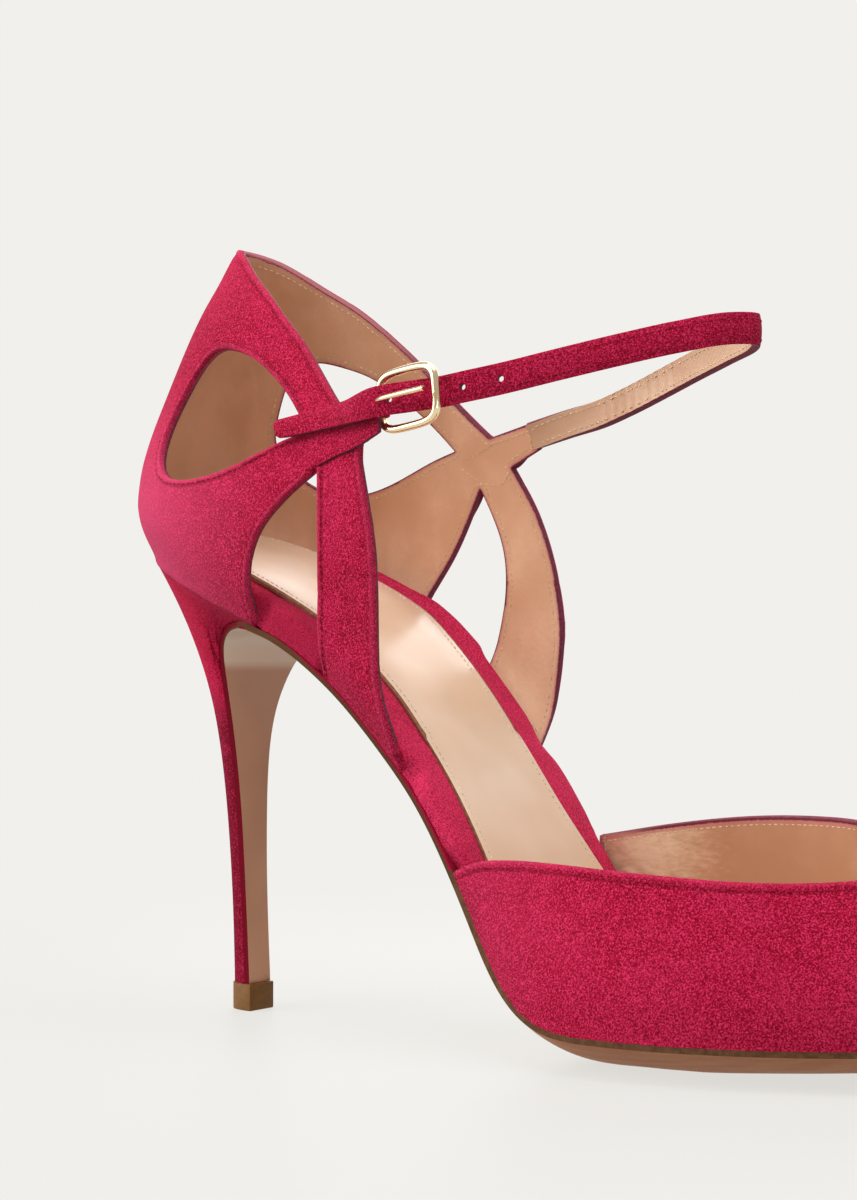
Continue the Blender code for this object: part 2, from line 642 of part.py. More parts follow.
def heel_ring(height, steps):
    """One side of the heel's section at a height: from the breast's corner to the back."""
    rows = sorted((row_height, station, half) for station, row_height, half in BREAST[BREAST_CORNER - 1:])
    front = smooth(rows, height, 1) - GAP
    half = smooth(rows, height, 2)
    depth = front - smooth(HEEL_BACK, height)
    ring = []
    for angle in np.radians(np.linspace(0.0, 90.0, steps + 1)[:-1]):
        ring.append((front - depth * math.sin(angle), half * math.cos(angle), height))
    return ring + [(front - depth, 0.0, height)]


def make_heel(collection):
    columns, corner = heel_columns()
    count = len(columns)
    near = []
    for share in FLARE_SHARES:
        row = []
        for seat, foot in columns:
            top, bottom = np.array(seat), np.array(foot)
            flat = (bottom - top) * (1.0, 1.0, 0.0)
            drop = (bottom - top) * (0.0, 0.0, 1.0)
            bends = [top + flat * across + drop * down for across, down in HEEL_FLARE]
            row.append(bezier(share, top, *bends, bottom))
        near.append(row)
    flare_rows = len(near)
    for height in HEEL_RINGS:
        ring = heel_ring(height, count - 1 - corner)
        near.append([None] * corner + [np.array(point) for point in ring])
    points = []
    index = {}
    for side in (-1, 1):
        for r, row in enumerate(near):
            for k, point in enumerate(row):
                if point is not None:
                    index[side, r, k] = len(points)
                    points.append((point[0], side * point[1], point[2]))
    faces = []
    last = len(near) - 1
    for r in range(last):
        for k in range(0 if r < flare_rows - 1 else corner, count - 1):
            for side in (-1, 1):
                corners = ((r, k), (r, k + 1), (r + 1, k + 1), (r + 1, k))
                faces.append(tuple(index[side, *at] for at in corners))
    for k in range(count - 1):
        faces.append((index[-1, 0, k], index[1, 0, k], index[1, 0, k + 1], index[-1, 0, k + 1]))
    for k in range(corner, count - 1):
        faces.append((index[-1, last, k], index[1, last, k], index[1, last, k + 1], index[-1, last, k + 1]))
    front = [(r, 0) for r in range(flare_rows)]
    front += [(flare_rows - 1, k) for k in range(1, corner + 1)]
    front += [(r, corner) for r in range(flare_rows, last + 1)]
    for upper, lower in zip(front, front[1:]):
        faces.append((index[-1, *upper], index[-1, *lower], index[1, *lower], index[1, *upper]))
    merged = [tuple(dict.fromkeys(face)) for face in faces]
    return mesh_object("heel", points, merged, SUEDE, collection)


def make_top_lift(collection):
    rings = []
    for height, spread in ((0.0, 0.97), (LIFT_BEVEL, 1.0), (LIFT_HEIGHT, 1.0)):
        ring = []
        for angle in np.radians(np.linspace(-90.0, 90.0, 17)):
            station = LIFT_FRONT - (LIFT_FRONT - LIFT_BACK) * math.cos(angle)
            ring.append((station, LIFT_HALF_WIDTH * spread * math.sin(angle), height))
        rings.append(ring)
    return loft("top_lift", rings, LIFT_RUBBER, collection)


def strip_section(width, thickness, edge):
    """Section of a strap, inner face then outer face: offset outward, offset up."""
    half, deep = width / 2, thickness / 2
    inner = ((-deep + edge, -half), (-deep, -half + edge), (-deep, half - edge), (-deep + edge, half))
    return inner + tuple((-out, up) for out, up in inner[::-1])


def sweep_strip(name, path, section, taper, finish, collection):
    """A strip along a path of points and leans; taper gives its share of full width at each one."""
    rows = np.array(path)
    points = rows[:, :3]
    runs = np.gradient(points, axis=0)
    rings = []
    for point, run, lean, share in zip(points, runs, np.radians(rows[:, 3]), taper):
        run = run / np.linalg.norm(run)
        level = np.cross((0.0, 0.0, 1.0), run)
        level = level / np.linalg.norm(level)
        upright = np.cross(run, level)
        out = level * math.cos(lean) + upright * math.sin(lean)
        up = upright * math.cos(lean) - level * math.sin(lean)
        rings.append([tuple(point + out * offset + up * rise * share) for offset, rise in section])
    return loft(name, rings, finish, collection)


def make_ankle_strap(collection, cutters):
    path = spline(ANKLE_STRAP, STRAP_STEP)
    taper = []
    for point in path:
        left = np.linalg.norm(point[:3] - path[-1][:3]) / (STRAP_WIDTH / 2)
        taper.append(math.sqrt(max(STRAP_TIP, 1.0 - max(0.0, 1.0 - left) ** 2)))
    section = strip_section(STRAP_WIDTH, STRAP_THICKNESS, STRAP_EDGE)
    strap = sweep_strip("ankle_strap", path, section, taper, SUEDE, collection)
    cutter = rod("prong_hole", prong_points()[HOOK_POINTS - 2:], PRONG_HOLE, cutters, as_mesh=True)
    hole = strap.modifiers.new("Prong hole", "BOOLEAN")
    hole.operation = "DIFFERENCE"
    hole.object = cutter
    return strap


def buckle_axes():
    """Directions along the buckle, outward from it and up it."""
    turn, pitch = math.radians(BUCKLE_TURN), math.radians(BUCKLE_PITCH)
    along = np.array((math.cos(turn) * math.cos(pitch), -math.sin(turn) * math.cos(pitch), math.sin(pitch)))
    out = np.array((-math.sin(turn), -math.cos(turn), 0.0))
    return along, out, np.cross(out, along)


def buckle_point(forward, outward, up=0.0):
    """A point placed from the middle of the buckle's rear bar."""
    along, out, rise = buckle_axes()
    rear = np.array(BUCKLE_CENTRE) - along * (BUCKLE_LENGTH - BUCKLE_STOCK) / 2
    return tuple(rear + along * forward + out * outward + rise * up)


def rod(name, points, stock, collection, finish=PALE_GOLD, cyclic=False, as_mesh=False):
    """Round stock along points, as a bevelled curve or as a closed mesh for cutting."""
    curve = bpy.data.curves.new(name, "CURVE")
    curve.dimensions = "3D"
    curve.bevel_depth = stock / 2 * MM
    curve.bevel_resolution = 2
    curve.use_fill_caps = not cyclic
    line = curve.splines.new("POLY")
    line.points.add(len(points) - 1)
    line.use_cyclic_u = cyclic
    for knot, point in zip(line.points, points):
        knot.co = (*world(*point), 1.0)
    made = add_object(name, curve, finish, collection)
    if not as_mesh:
        return made
    bpy.context.view_layer.update()
    mesh = bpy.data.meshes.new_from_object(made.evaluated_get(bpy.context.evaluated_depsgraph_get()))
    body = bmesh.new()
    body.from_mesh(mesh)
    bmesh.ops.remove_doubles(body, verts=body.verts, dist=MERGE * MM)
    bmesh.ops.recalc_face_normals(body, faces=body.faces)
    body.to_mesh(mesh)
    body.free()
    bpy.data.objects.remove(made)
    cutter = add_object(name, mesh, finish, collection)
    cutter.hide_render = True
    cutter.display_type = "WIRE"
    return cutter


def prong_points():
    """The prong's middle line: its hook round the rear bar, then over the strap to the front bar."""
    hook = BUCKLE_STOCK / 2 + GAP + PRONG_STOCK / 2
    turns = np.radians(np.linspace(-50.0, -260.0, HOOK_POINTS))
    points = [buckle_point(hook * math.cos(turn), hook * math.sin(turn)) for turn in turns]
    return points + [tuple(point) for point in spline([buckle_point(*place) for place in PRONG], 1.6)]


def rounded(part):
    """A sine or cosine pushed out towards a rounded rectangle."""
    return math.copysign(abs(part) ** BUCKLE_SQUARENESS, part)


def make_buckle(collection, cutters):
    length, height = BUCKLE_LENGTH - BUCKLE_STOCK, BUCKLE_HEIGHT - BUCKLE_STOCK
    ring = []
    for k in range(BUCKLE_POINTS):
        angle = 2 * math.pi * k / BUCKLE_POINTS
        across, up = (rounded(part) for part in (math.cos(angle), math.sin(angle)))
        ring.append(buckle_point(length / 2 * (1.0 + across), 0.0, height / 2 * up))
    rod("buckle_frame", ring, BUCKLE_STOCK, collection, cyclic=True)

    rod("buckle_prong", prong_points(), PRONG_STOCK, collection)

    bend = BUCKLE_STOCK / 2 + GAP + LOOP_LEATHER / 2
    places = list(LOOP_INNER)
    for turn in np.radians(np.arange(-90, 91, 30)):
        places.append((bend * math.cos(turn), bend * math.sin(turn), 0.0))
    places += list(LOOP_OUTER)
    path = [(*buckle_point(forward, outward), lean) for forward, outward, lean in places]
    section = strip_section(LOOP_WIDTH, LOOP_LEATHER, LOOP_EDGE)
    loop = sweep_strip("buckle_loop", path, section, [1.0] * len(path), SUEDE, collection)
    slot = slot_cutter(cutters)
    cut = loop.modifiers.new("Prong slot", "BOOLEAN")
    cut.operation = "DIFFERENCE"
    cut.object = slot


def slot_cutter(cutters):
    deep, wide = SLOT_DEPTH / 2, LOOP_SLOT / 2
    corners = ((-deep, -wide), (-deep, wide), (deep, wide), (deep, -wide))
    rings = []
    for forward in SLOT_ENDS:
        rings.append([buckle_point(forward, outward, up) for outward, up in corners])
    cutter = loft("prong_slot", rings, SUEDE, cutters)
    cutter.hide_render = True
    cutter.display_type = "WIRE"
    return cutter


def main():
    for item in list(bpy.data.objects):
        bpy.data.objects.remove(item, do_unlink=True)
    shoe = bpy.data.collections.new("pointed_toe_pump")
    cutters = bpy.data.collections.new("cutters")
    for collection in (shoe, cutters):
        bpy.context.scene.collection.children.link(collection)
    make_outsole(shoe)
    make_insole(shoe)
    make_sock(shoe)
    make_vamp(shoe)
    make_back_quarter(shoe)
    make_heel(shoe)
    make_top_lift(shoe)
    make_ankle_strap(shoe, cutters)
    make_buckle(shoe, cutters)


main()
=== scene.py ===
"""Looks of the pointed toe pump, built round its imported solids.

A right shoe in metres, +X to the toe, the outer side at -Y.
Stations are millimetres forward of the counter's back.
"""
import json
import math

import bmesh
import bpy
import numpy as np
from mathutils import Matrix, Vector
from mathutils.bvhtree import BVHTree
from mathutils.kdtree import KDTree

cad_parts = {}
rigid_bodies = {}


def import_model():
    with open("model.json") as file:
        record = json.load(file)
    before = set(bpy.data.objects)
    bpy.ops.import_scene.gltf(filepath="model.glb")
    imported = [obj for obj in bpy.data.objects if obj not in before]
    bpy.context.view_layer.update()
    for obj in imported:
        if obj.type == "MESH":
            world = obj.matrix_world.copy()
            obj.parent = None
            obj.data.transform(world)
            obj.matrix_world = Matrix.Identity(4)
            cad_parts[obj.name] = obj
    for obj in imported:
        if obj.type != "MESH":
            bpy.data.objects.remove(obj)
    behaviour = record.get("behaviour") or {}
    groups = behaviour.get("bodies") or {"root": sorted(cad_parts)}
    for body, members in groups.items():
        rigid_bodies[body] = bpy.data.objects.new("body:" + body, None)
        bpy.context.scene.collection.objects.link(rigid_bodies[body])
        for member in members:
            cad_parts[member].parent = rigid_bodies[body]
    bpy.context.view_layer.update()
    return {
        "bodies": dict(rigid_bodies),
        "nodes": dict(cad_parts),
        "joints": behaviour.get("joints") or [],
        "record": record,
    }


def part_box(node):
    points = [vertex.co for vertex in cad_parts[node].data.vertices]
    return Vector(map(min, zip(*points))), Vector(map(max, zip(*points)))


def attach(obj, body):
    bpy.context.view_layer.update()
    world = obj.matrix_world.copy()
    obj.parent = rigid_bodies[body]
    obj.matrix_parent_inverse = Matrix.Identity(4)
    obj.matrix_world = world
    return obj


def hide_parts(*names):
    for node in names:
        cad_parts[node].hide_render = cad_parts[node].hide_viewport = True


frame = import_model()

MM = 0.001

# Kinds of face on a leather wall, which are also its material slots
OUTSIDE, LINING, CUT = 0, 1, 2

# Sizes in millimetres
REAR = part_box("back_quarter")[0].x / MM
MERGE = 0.01
UPPER_WALL = 2.0
VAMP_WALL = 1.8
SEAT_REACH = 1.3
QUARTER_HEM = 1.4
VAMP_HEM = 2.0
GROOVE_DEPTH = 0.16
GROOVE_WIDTH = 0.4
HEM_ROLL = 0.2
HEM_FAR = 12.0
LINING_SEAM = 1.5
SOCK_SEAM = 1.5
SOCK_SINK = (0.7, 1.0)
TURNED_EDGES = (0.5, 1.2)
SETTLE_REACH = 1.2
STITCH_PITCH = 1.5
STITCH_LENGTH = 1.0
STITCH_RADIUS = 0.17
STITCH_RISE = 0.021
STRAP_WIDTH = 6.2
STRAP_THICKNESS = 1.8
STRAP_STEP = 0.9
STRAP_SEAM = 1.15
BAND_LIFT = 0.75
BAND_LEATHER = 0.9

# Colours as seen, red, green and blue from 0 to 255
SUEDE_MID = (168, 8, 50)
SUEDE_DEEP = (112, 0, 22)
SUEDE_LIGHT = (214, 50, 96)
# Pale pink painted towards the back of the suede as sheen, and also laid along its hems
SUEDE_PALE = (232, 84, 128)
# Heel suede: a dark tone low down, where the heel lies in shade, and a light one at its top, where light
# falls: painted shade and light
HEEL_SUEDE_SHADED = (112, 2, 29)
HEEL_TOP_LIT = (202, 18, 64)
# Insole suede: a lighter copy of the suede, as the insole faces up into the light: painted light
INSOLE_SUEDE_LIT = (208, 28, 70)
INSOLE_SHADE = (130, 0, 36)
EDGE_SUEDE = (160, 18, 56)
WINE_EDGE = (110, 26, 50)
WINE_FIBRES = ((88, 14, 42), (132, 38, 70))
PINK_COLLAR = (196, 118, 122)
PINK_EDGE = (206, 124, 128)
# Painted highlight on the glossy creases of the vamp's lining
LINING_HIGHLIGHT = (255, 230, 200)
TAN_LINING = (243, 199, 165)
# Darker tan painted as shade inside the counter
TAN_SHADE = (196, 146, 110)
# Strap lining: a greyer tone of its own, made darker as painted shade from the strap's front
STRAP_LINING_SHADED = (218, 183, 155)
VAMP_LINING = (214, 171, 138)
NUDE_SOCK = ((226, 190, 160), (236, 204, 178))
NUDE_SOLE = ((198, 138, 98), (212, 153, 113))
# Painted highlight on the breast's top, where the sole turns under the shank
BREAST_TOP_LIT = (255, 228, 204)
NUDE_TREAD = ((194, 122, 80), (206, 138, 96))
BROWN_EDGE = ((84, 54, 34), (104, 70, 46))
SOCK_EDGE = ((128, 80, 60), (152, 102, 80))
BREAST_LINE = (92, 60, 38)
LIFT_BROWN = ((116, 78, 36), (128, 88, 42))
PALE_GOLD = (240, 220, 178)
RED_THREAD = (166, 10, 54)
BEIGE_THREAD = (246, 220, 186)
PALE_THREAD = (252, 236, 216)
PAPER = (241, 240, 236)


def srgb(colour):
    """Linear colour, with alpha, of one given from 0 to 255."""
    return tuple(((part / 255 + 0.055) / 1.055) ** 2.4 for part in colour) + (1.0,)


def place(station, side, height):
    return Vector(((REAR + station) * MM, side * MM, height * MM))


def where(point):
    """Station, side and height of a point, in millimetres."""
    return point.x / MM - REAR, point.y / MM, point.z / MM


def step(low, high, value):
    """Smooth step from 0 to 1."""
    t = np.clip((value - low) / (high - low), 0.0, 1.0)
    return t * t * (3.0 - 2.0 * t)


def within(first, last, value):
    """Smooth step up over one span and down over another."""
    return step(*first, value) * (1.0 - step(*last, value))


# Materials


SPAN_SOCKETS = ("From Min", "From Max", "To Min", "To Max")


def spread(tree, value, numbers, smooth=True):
    """Maps a node's output from one span on to another: low, high, first, last."""
    node = tree.nodes.new("ShaderNodeMapRange")
    if smooth:
        node.interpolation_type = "SMOOTHSTEP"
    for socket, number in zip(SPAN_SOCKETS, numbers):
        node.inputs[socket].default_value = number
    tree.links.new(value, node.inputs["Value"])
    return node.outputs["Result"]


class Finish:
    """A Principled material and the texture nodes that feed it."""

    def __init__(self, name, colour, **sockets):
        self.material = bpy.data.materials.new(name)
        self.material.use_nodes = True
        self.nodes = self.material.node_tree.nodes
        self.links = self.material.node_tree.links
        self.shader = self.nodes["Principled BSDF"]
        self.shader.inputs["Base Color"].default_value = srgb(colour)
        for socket, value in sockets.items():
            self.shader.inputs[socket.replace("_", " ")].default_value = value
        self.where = self.nodes.new("ShaderNodeTexCoord").outputs["Object"]

    def noise(self, size, detail=2.0, roughness=0.5, stretch=(1.0, 1.0, 1.0)):
        """Noise with features of a size in millimetres."""
        mapping = self.nodes.new("ShaderNodeMapping")
        mapping.inputs["Scale"].default_value = stretch
        self.links.new(self.where, mapping.inputs["Vector"])
        texture = self.nodes.new("ShaderNodeTexNoise")
        texture.inputs["Scale"].default_value = 1.0 / (size * MM)
        texture.inputs["Detail"].default_value = detail
        texture.inputs["Roughness"].default_value = roughness
        self.links.new(mapping.outputs["Vector"], texture.inputs["Vector"])
        return texture.outputs["Fac"]

    def nap(self):
        """Fine tufts of suede."""
        return self.noise(0.36, roughness=0.6)

    def pores(self, size):
        """Cells of a size in millimetres, for leather grain."""
        texture = self.nodes.new("ShaderNodeTexVoronoi")
        texture.inputs["Scale"].default_value = 1.0 / (size * MM)
        self.links.new(self.where, texture.inputs["Vector"])
        return texture.outputs["Distance"]

    def axis(self, letter):
        """One of the three object coordinates, in metres."""
        split = self.nodes.new("ShaderNodeSeparateXYZ")
        self.links.new(self.where, split.inputs["Vector"])
        return split.outputs[letter]

    def compute(self, kind, operation, *terms):
        """The value of a maths node, over other outputs and numbers."""
        node = self.nodes.new(kind)
        node.operation = operation
        for socket, term in zip(node.inputs, terms):
            if isinstance(term, bpy.types.NodeSocket):
                self.links.new(term, socket)
            else:
                socket.default_value = term
        return node.outputs["Value"]

    def distance(self, point):
        """Distance from a place, in metres."""
        return self.compute("ShaderNodeVectorMath", "DISTANCE", self.where, point)

    def product(self, first, second):
        return self.compute("ShaderNodeMath", "MULTIPLY", first, second)

    def sum(self, first, second, weight):
        """One value and a share of another."""
        return self.compute("ShaderNodeMath", "MULTIPLY_ADD", second, weight, first)

    def apart_from(self, name):
        """Distance from the nearest hem, or from the groove inside it, in millimetres."""
        attribute = self.nodes.new("ShaderNodeAttribute")
        attribute.attribute_name = name
        return attribute.outputs["Fac"]

    def share(self, value, low, high, first=0.0, last=1.0):
        """A value's place between two limits, as a share."""
        return spread(self.material.node_tree, value, (low, high, first, last))

    def mix(self, factor, first, second):
        """A colour between two, each a colour from 0 to 255 or another node's output."""
        node = self.nodes.new("ShaderNodeMix")
        node.data_type = "RGBA"
        self.links.new(factor, node.inputs["Factor"])
        for socket, colour in ((node.inputs[6], first), (node.inputs[7], second)):
            if isinstance(colour, tuple):
                socket.default_value = srgb(colour)
            else:
                self.links.new(colour, socket)
        return node.outputs[2]

    def colour(self, output):
        self.links.new(output, self.shader.inputs["Base Color"])

    def roughness(self, output):
        self.links.new(output, self.shader.inputs["Roughness"])

    def bump(self, height, strength, depth):
        """Relief of a depth in millimetres."""
        node = self.nodes.new("ShaderNodeBump")
        node.inputs["Strength"].default_value = strength
        node.inputs["Distance"].default_value = depth * MM
        self.links.new(height, node.inputs["Height"])
        self.links.new(node.outputs["Normal"], self.shader.inputs["Normal"])


def make_suede(name, high, low, sheen, painted_sheen, tuft=0.95, limits=(0.0, 0.01), painted_shade_spot=None):
    """Brushed suede: of one tone above a height and another below it, where a lit top and a shaded foot are
    painted, paler towards the back of a stretch as painted sheen, and darker round a spot as painted shade.
    """
    suede = Finish(name, high, Roughness=0.95, Specular_IOR_Level=0.1, Sheen_Weight=sheen,
                   Sheen_Roughness=0.45, Sheen_Tint=srgb((255, 148, 184)))
    clouds = suede.noise(30.0)
    strokes = suede.noise(5.0, detail=3.0, roughness=0.55, stretch=(0.6, 1.0, 1.3))
    nap = suede.nap()
    brushed = suede.sum(clouds, strokes, 0.7)
    # Tone by height; on the heel this paints a lit top over a shaded foot
    tone = suede.mix(suede.share(suede.axis("Z"), *limits), low, high)
    tone = suede.mix(suede.share(brushed, 0.66, 0.88, 0.3, 0.0), tone, SUEDE_DEEP)
    tone = suede.mix(suede.share(brushed, 0.82, 1.06, 0.0, 0.2), tone, SUEDE_LIGHT)
    tufts = suede.mix(suede.share(nap, 0.48, 0.66, 0.0, tuft), tone, SUEDE_LIGHT)
    pits = suede.mix(suede.share(nap, 0.34, 0.52, 0.9, 0.0), tufts, SUEDE_DEEP)
    # Pale pink painted towards the back of a stretch and below the counter's top, as sheen where light
    # grazes: painted light
    first, last, weight = painted_sheen
    back = suede.share(suede.axis("X"), first, last, weight, 0.0)
    low_down = suede.share(suede.axis("Z"), 0.11, 0.15, 1.0, 0.0)
    pale = suede.mix(suede.product(back, low_down), pits, SUEDE_PALE)
    # Darker round a spot, where shade falls: painted shade
    if painted_shade_spot:
        near_spot = suede.share(suede.distance(painted_shade_spot), 0.010, 0.020, 0.55, 0.0)
        pale = suede.mix(near_spot, pale, INSOLE_SHADE)
    # Paler within a millimetre or so of each hem
    paler_hems = suede.mix(suede.share(suede.apart_from("hem"), 0.1, 1.3, 0.16, 0.0), pale, SUEDE_PALE)
    # Painted shade in the groove under the stitches; the same darkening also draws the line along a wall's
    # foot
    groove = suede.share(suede.apart_from("groove"), 0.1, 0.5, 0.3, 0.0)
    suede.colour(suede.mix(groove, paler_hems, SUEDE_DEEP))
    suede.bump(suede.sum(nap, strokes, 0.5), 0.6, 0.35)
    return suede.material


def make_lining(name, colour, wine, pink, highlight_spot=None):
    """Tan lining leather: wine, then pink, some millimetres in from its hems, paler round a spot as a painted
    highlight.
    """
    lining = Finish(name, colour, Roughness=0.5, Specular_IOR_Level=0.4)
    shade = tuple(int(part * share) for part, share in zip(colour, (0.92, 0.86, 0.82)))
    patches = lining.noise(18.0, detail=3.0)
    grain = lining.noise(0.9, detail=3.0, roughness=0.6)
    frayed = lining.sum(lining.apart_from("hem"), lining.noise(0.5), 0.5)
    tone = lining.mix(lining.share(patches, 0.35, 0.68), shade, colour)
    tone = lining.mix(lining.share(grain, 0.35, 0.7, 0.25, 0.0), tone, shade)
    # Darker towards the back, where the counter's lining lies in shade: painted shade
    tone = lining.mix(lining.share(lining.axis("X"), -0.100, -0.058, 0.55, 0.0), tone, TAN_SHADE)
    # Soft upright dents drawn only as darker streaks: painted shade
    dents = lining.noise(7.0, stretch=(1.0, 1.0, 0.12))
    tone = lining.mix(lining.share(dents, 0.46, 0.62, 0.0, 0.45), tone, shade)
    # Painted highlight on glossy creases round a spot, with an uneven edge
    if highlight_spot:
        wrinkles = lining.noise(1.1, detail=4.0, roughness=0.65, stretch=(0.35, 1.0, 1.0))
        reach = lining.sum(lining.distance(highlight_spot), wrinkles, 0.026)
        tone = lining.mix(lining.share(reach, 0.012, 0.032, 0.8, 0.0), tone, LINING_HIGHLIGHT)
    tone = lining.mix(lining.share(frayed, pink - 0.4, pink + 0.4, 0.7, 0.0), tone, PINK_EDGE)
    turned = lining.share(frayed, wine, wine + 0.3, 0.95, 0.0)
    # Behind the painted highlight most of the wine edge is left out, so no dark line runs through it
    if highlight_spot:
        ahead = lining.share(lining.axis("X"), highlight_spot[0] - 0.008, highlight_spot[0] + 0.004, 0.1, 1.0)
        turned = lining.product(turned, ahead)
    lining.colour(lining.mix(turned, tone, WINE_EDGE))
    lining.roughness(lining.share(patches, 0.3, 0.7, 0.42, 0.56))
    lining.bump(lining.sum(lining.pores(1.1), grain, 0.6), 0.22, 0.12)
    return lining.material


def make_cut_edge():
    """Wine cut edges, paler along the collar."""
    edge = Finish("wine_edge", WINE_EDGE, Roughness=0.8)
    fibres = edge.noise(0.6, detail=3.0)
    tone = edge.mix(edge.share(fibres, 0.35, 0.7), *WINE_FIBRES)
    edge.colour(edge.mix(edge.share(edge.axis("Z"), 0.138, 0.165, 0.0, 0.6), tone, PINK_COLLAR))
    edge.bump(fibres, 0.4, 0.2)
    return edge.material


# Patches and lengthwise scuffs in smooth leather: size, detail, roughness, stretch
PATCHES = (26.0, 2.0, 0.5, (1.0, 1.0, 1.0))
SCUFFS = (3.0, 3.0, 0.5, (0.25, 1.0, 1.0))
# Heights over which the breast's top turns to its painted highlight
TURN_UNDER = (0.0785, 0.0815)


def make_smooth_leather(name, tones, marks, dullness, top=None, **sockets):
    """Smooth leather of two tones, between two roughnesses, and paler where it turns under the shank: a
    painted highlight on the breast's top.
    """
    leather = Finish(name, tones[1], **sockets)
    patches = leather.noise(*marks)
    tone = leather.mix(leather.share(patches, 0.35, 0.7), *tones)
    # Painted highlight on the breast's top, above the turn under the shank
    if top:
        tone = leather.mix(leather.share(leather.axis("Z"), *TURN_UNDER), tone, top)
    leather.colour(tone)
    leather.roughness(leather.share(leather.noise(0.5), 0.3, 0.7, *dullness))
    leather.bump(leather.sum(leather.pores(0.8), patches, 0.8), 0.1, 0.08)
    return leather.material


def make_back_edge():
    """Suede turned over the sole's edge, above a brown line that thins out over the breast."""
    edge = Finish("back_edge", SUEDE_MID, Roughness=0.9, Specular_IOR_Level=0.1)
    nap = edge.nap()
    # Darker towards the breast in the heel's shaded tone: painted shade
    tone = edge.mix(edge.share(edge.axis("X"), -0.085, -0.060), HEEL_SUEDE_SHADED, EDGE_SUEDE)
    tone = edge.mix(edge.share(nap, 0.34, 0.66, 0.5, 0.0), tone, SUEDE_DEEP)
    over_breast = edge.share(edge.axis("Z"), 0.0785, 0.0855, 0.0, 0.45)
    width = edge.sum(over_breast, edge.share(edge.axis("X"), -0.082, -0.066, 0.0, 0.85), 1.0)
    inside = edge.share(edge.sum(edge.apart_from("hem"), width, -1.0), -0.08, 0.04, 1.0, 0.0)
    edge.colour(edge.mix(inside, tone, BREAST_LINE))
    edge.bump(nap, 0.5, 0.3)
    return edge.material


def make_grained(name, tones, grain, span, relief, **sockets):
    """A plain material of two tones in a grain: size, detail, roughness and stretch."""
    plain = Finish(name, tones[1], **sockets)
    marks = plain.noise(*grain)
    plain.colour(plain.mix(plain.share(marks, *span), *tones))
    plain.bump(marks, *relief)
    return plain.material


def make_layered_edge(name, tones):
    return make_grained(name, tones, (1.2, 3.0), (0.3, 0.7), (0.3, 0.15),
                        Roughness=0.8, Specular_IOR_Level=0.15)


def make_lift():
    return make_grained("lift_brown", LIFT_BROWN, (2.4, 4.0, 0.5, (1.0, 1.0, 2.0)), (0.3, 0.7), (0.12, 0.1),
                        Roughness=0.5, Specular_IOR_Level=0.2)


def make_thread(name, colour):
    shade = tuple(int(part * 0.75) for part in colour)
    return make_grained(name, (shade, colour), (0.35, 1.0), (0.35, 0.65), (0.3, 0.1),
                        Roughness=0.75, Specular_IOR_Level=0.2)


def make_gold():
    gold = Finish("pale_gold", PALE_GOLD, Roughness=0.14, Metallic=1.0)
    polish = gold.noise(0.8, detail=3.0)
    gold.roughness(gold.share(polish, 0.3, 0.7, 0.10, 0.19))
    return gold.material


# Working on pieces


def pick(piece):
    """Makes a piece the only selected and active one."""
    bpy.ops.object.select_all(action="DESELECT")
    piece.select_set(True)
    bpy.context.view_layer.objects.active = piece


def added(name, data):
    """A new object in the scene."""
    thing = bpy.data.objects.new(name, data)
    bpy.context.scene.collection.objects.link(thing)
    return thing


def fresh(add, **settings):
    """A new object from one of the mesh primitives."""
    bpy.ops.object.select_all(action="DESELECT")
    add(**settings)
    return bpy.context.object


def finish_with(piece, kind, **settings):
    """Adds a modifier and applies it."""
    pick(piece)
    modifier = piece.modifiers.new(kind.title(), kind)
    for name, value in settings.items():
        setattr(modifier, name, value)
    bpy.ops.object.modifier_apply(modifier=modifier.name)


def subdivide(piece, levels):
    finish_with(piece, "SUBSURF", levels=levels, render_levels=levels)


def thicken(piece, thickness, offset):
    """Gives a sheet its thickness, and its materials for the back and the rim."""
    finish_with(piece, "SOLIDIFY", thickness=thickness * MM, offset=offset,
                material_offset=1, material_offset_rim=2)


def bevel(piece, width, segments, angle):
    finish_with(piece, "BEVEL", width=width * MM, segments=segments, limit_method="ANGLE",
                angle_limit=math.radians(angle))


def wear(piece, *materials):
    """Gives a piece its materials, before its faces are told apart."""
    piece.data.materials.clear()
    for material in materials:
        piece.data.materials.append(material)


def copied(node, *materials, flat=50.0):
    """A copy of a solid, its loose triangles merged and joined into quads."""
    piece = added(node, frame["nodes"][node].data.copy())
    wear(piece, *materials)
    pick(piece)
    bpy.ops.object.mode_set(mode="EDIT")
    bpy.ops.mesh.select_all(action="SELECT")
    bpy.ops.mesh.customdata_custom_splitnormals_clear()
    bpy.ops.mesh.remove_doubles(threshold=MERGE * MM)
    limit = math.radians(flat)
    bpy.ops.mesh.tris_convert_to_quads(face_threshold=limit, shape_threshold=limit)
    bpy.ops.object.mode_set(mode="OBJECT")
    return piece


def complete(piece, node=None):
    """Gives a piece its shading and its body, and hides the solid it stands for."""
    pick(piece)
    bpy.ops.object.shade_smooth_by_angle(angle=math.radians(50))
    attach(piece, "root")
    if node:
        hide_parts(node)


def surface(mesh, kind=None):
    """Search tree over a mesh's faces, or over those of one kind."""
    points = [vertex.co for vertex in mesh.vertices]
    faces = [face.vertices[:] for face in mesh.polygons if kind is None or face.material_index == kind]
    return BVHTree.FromPolygons(points, faces)


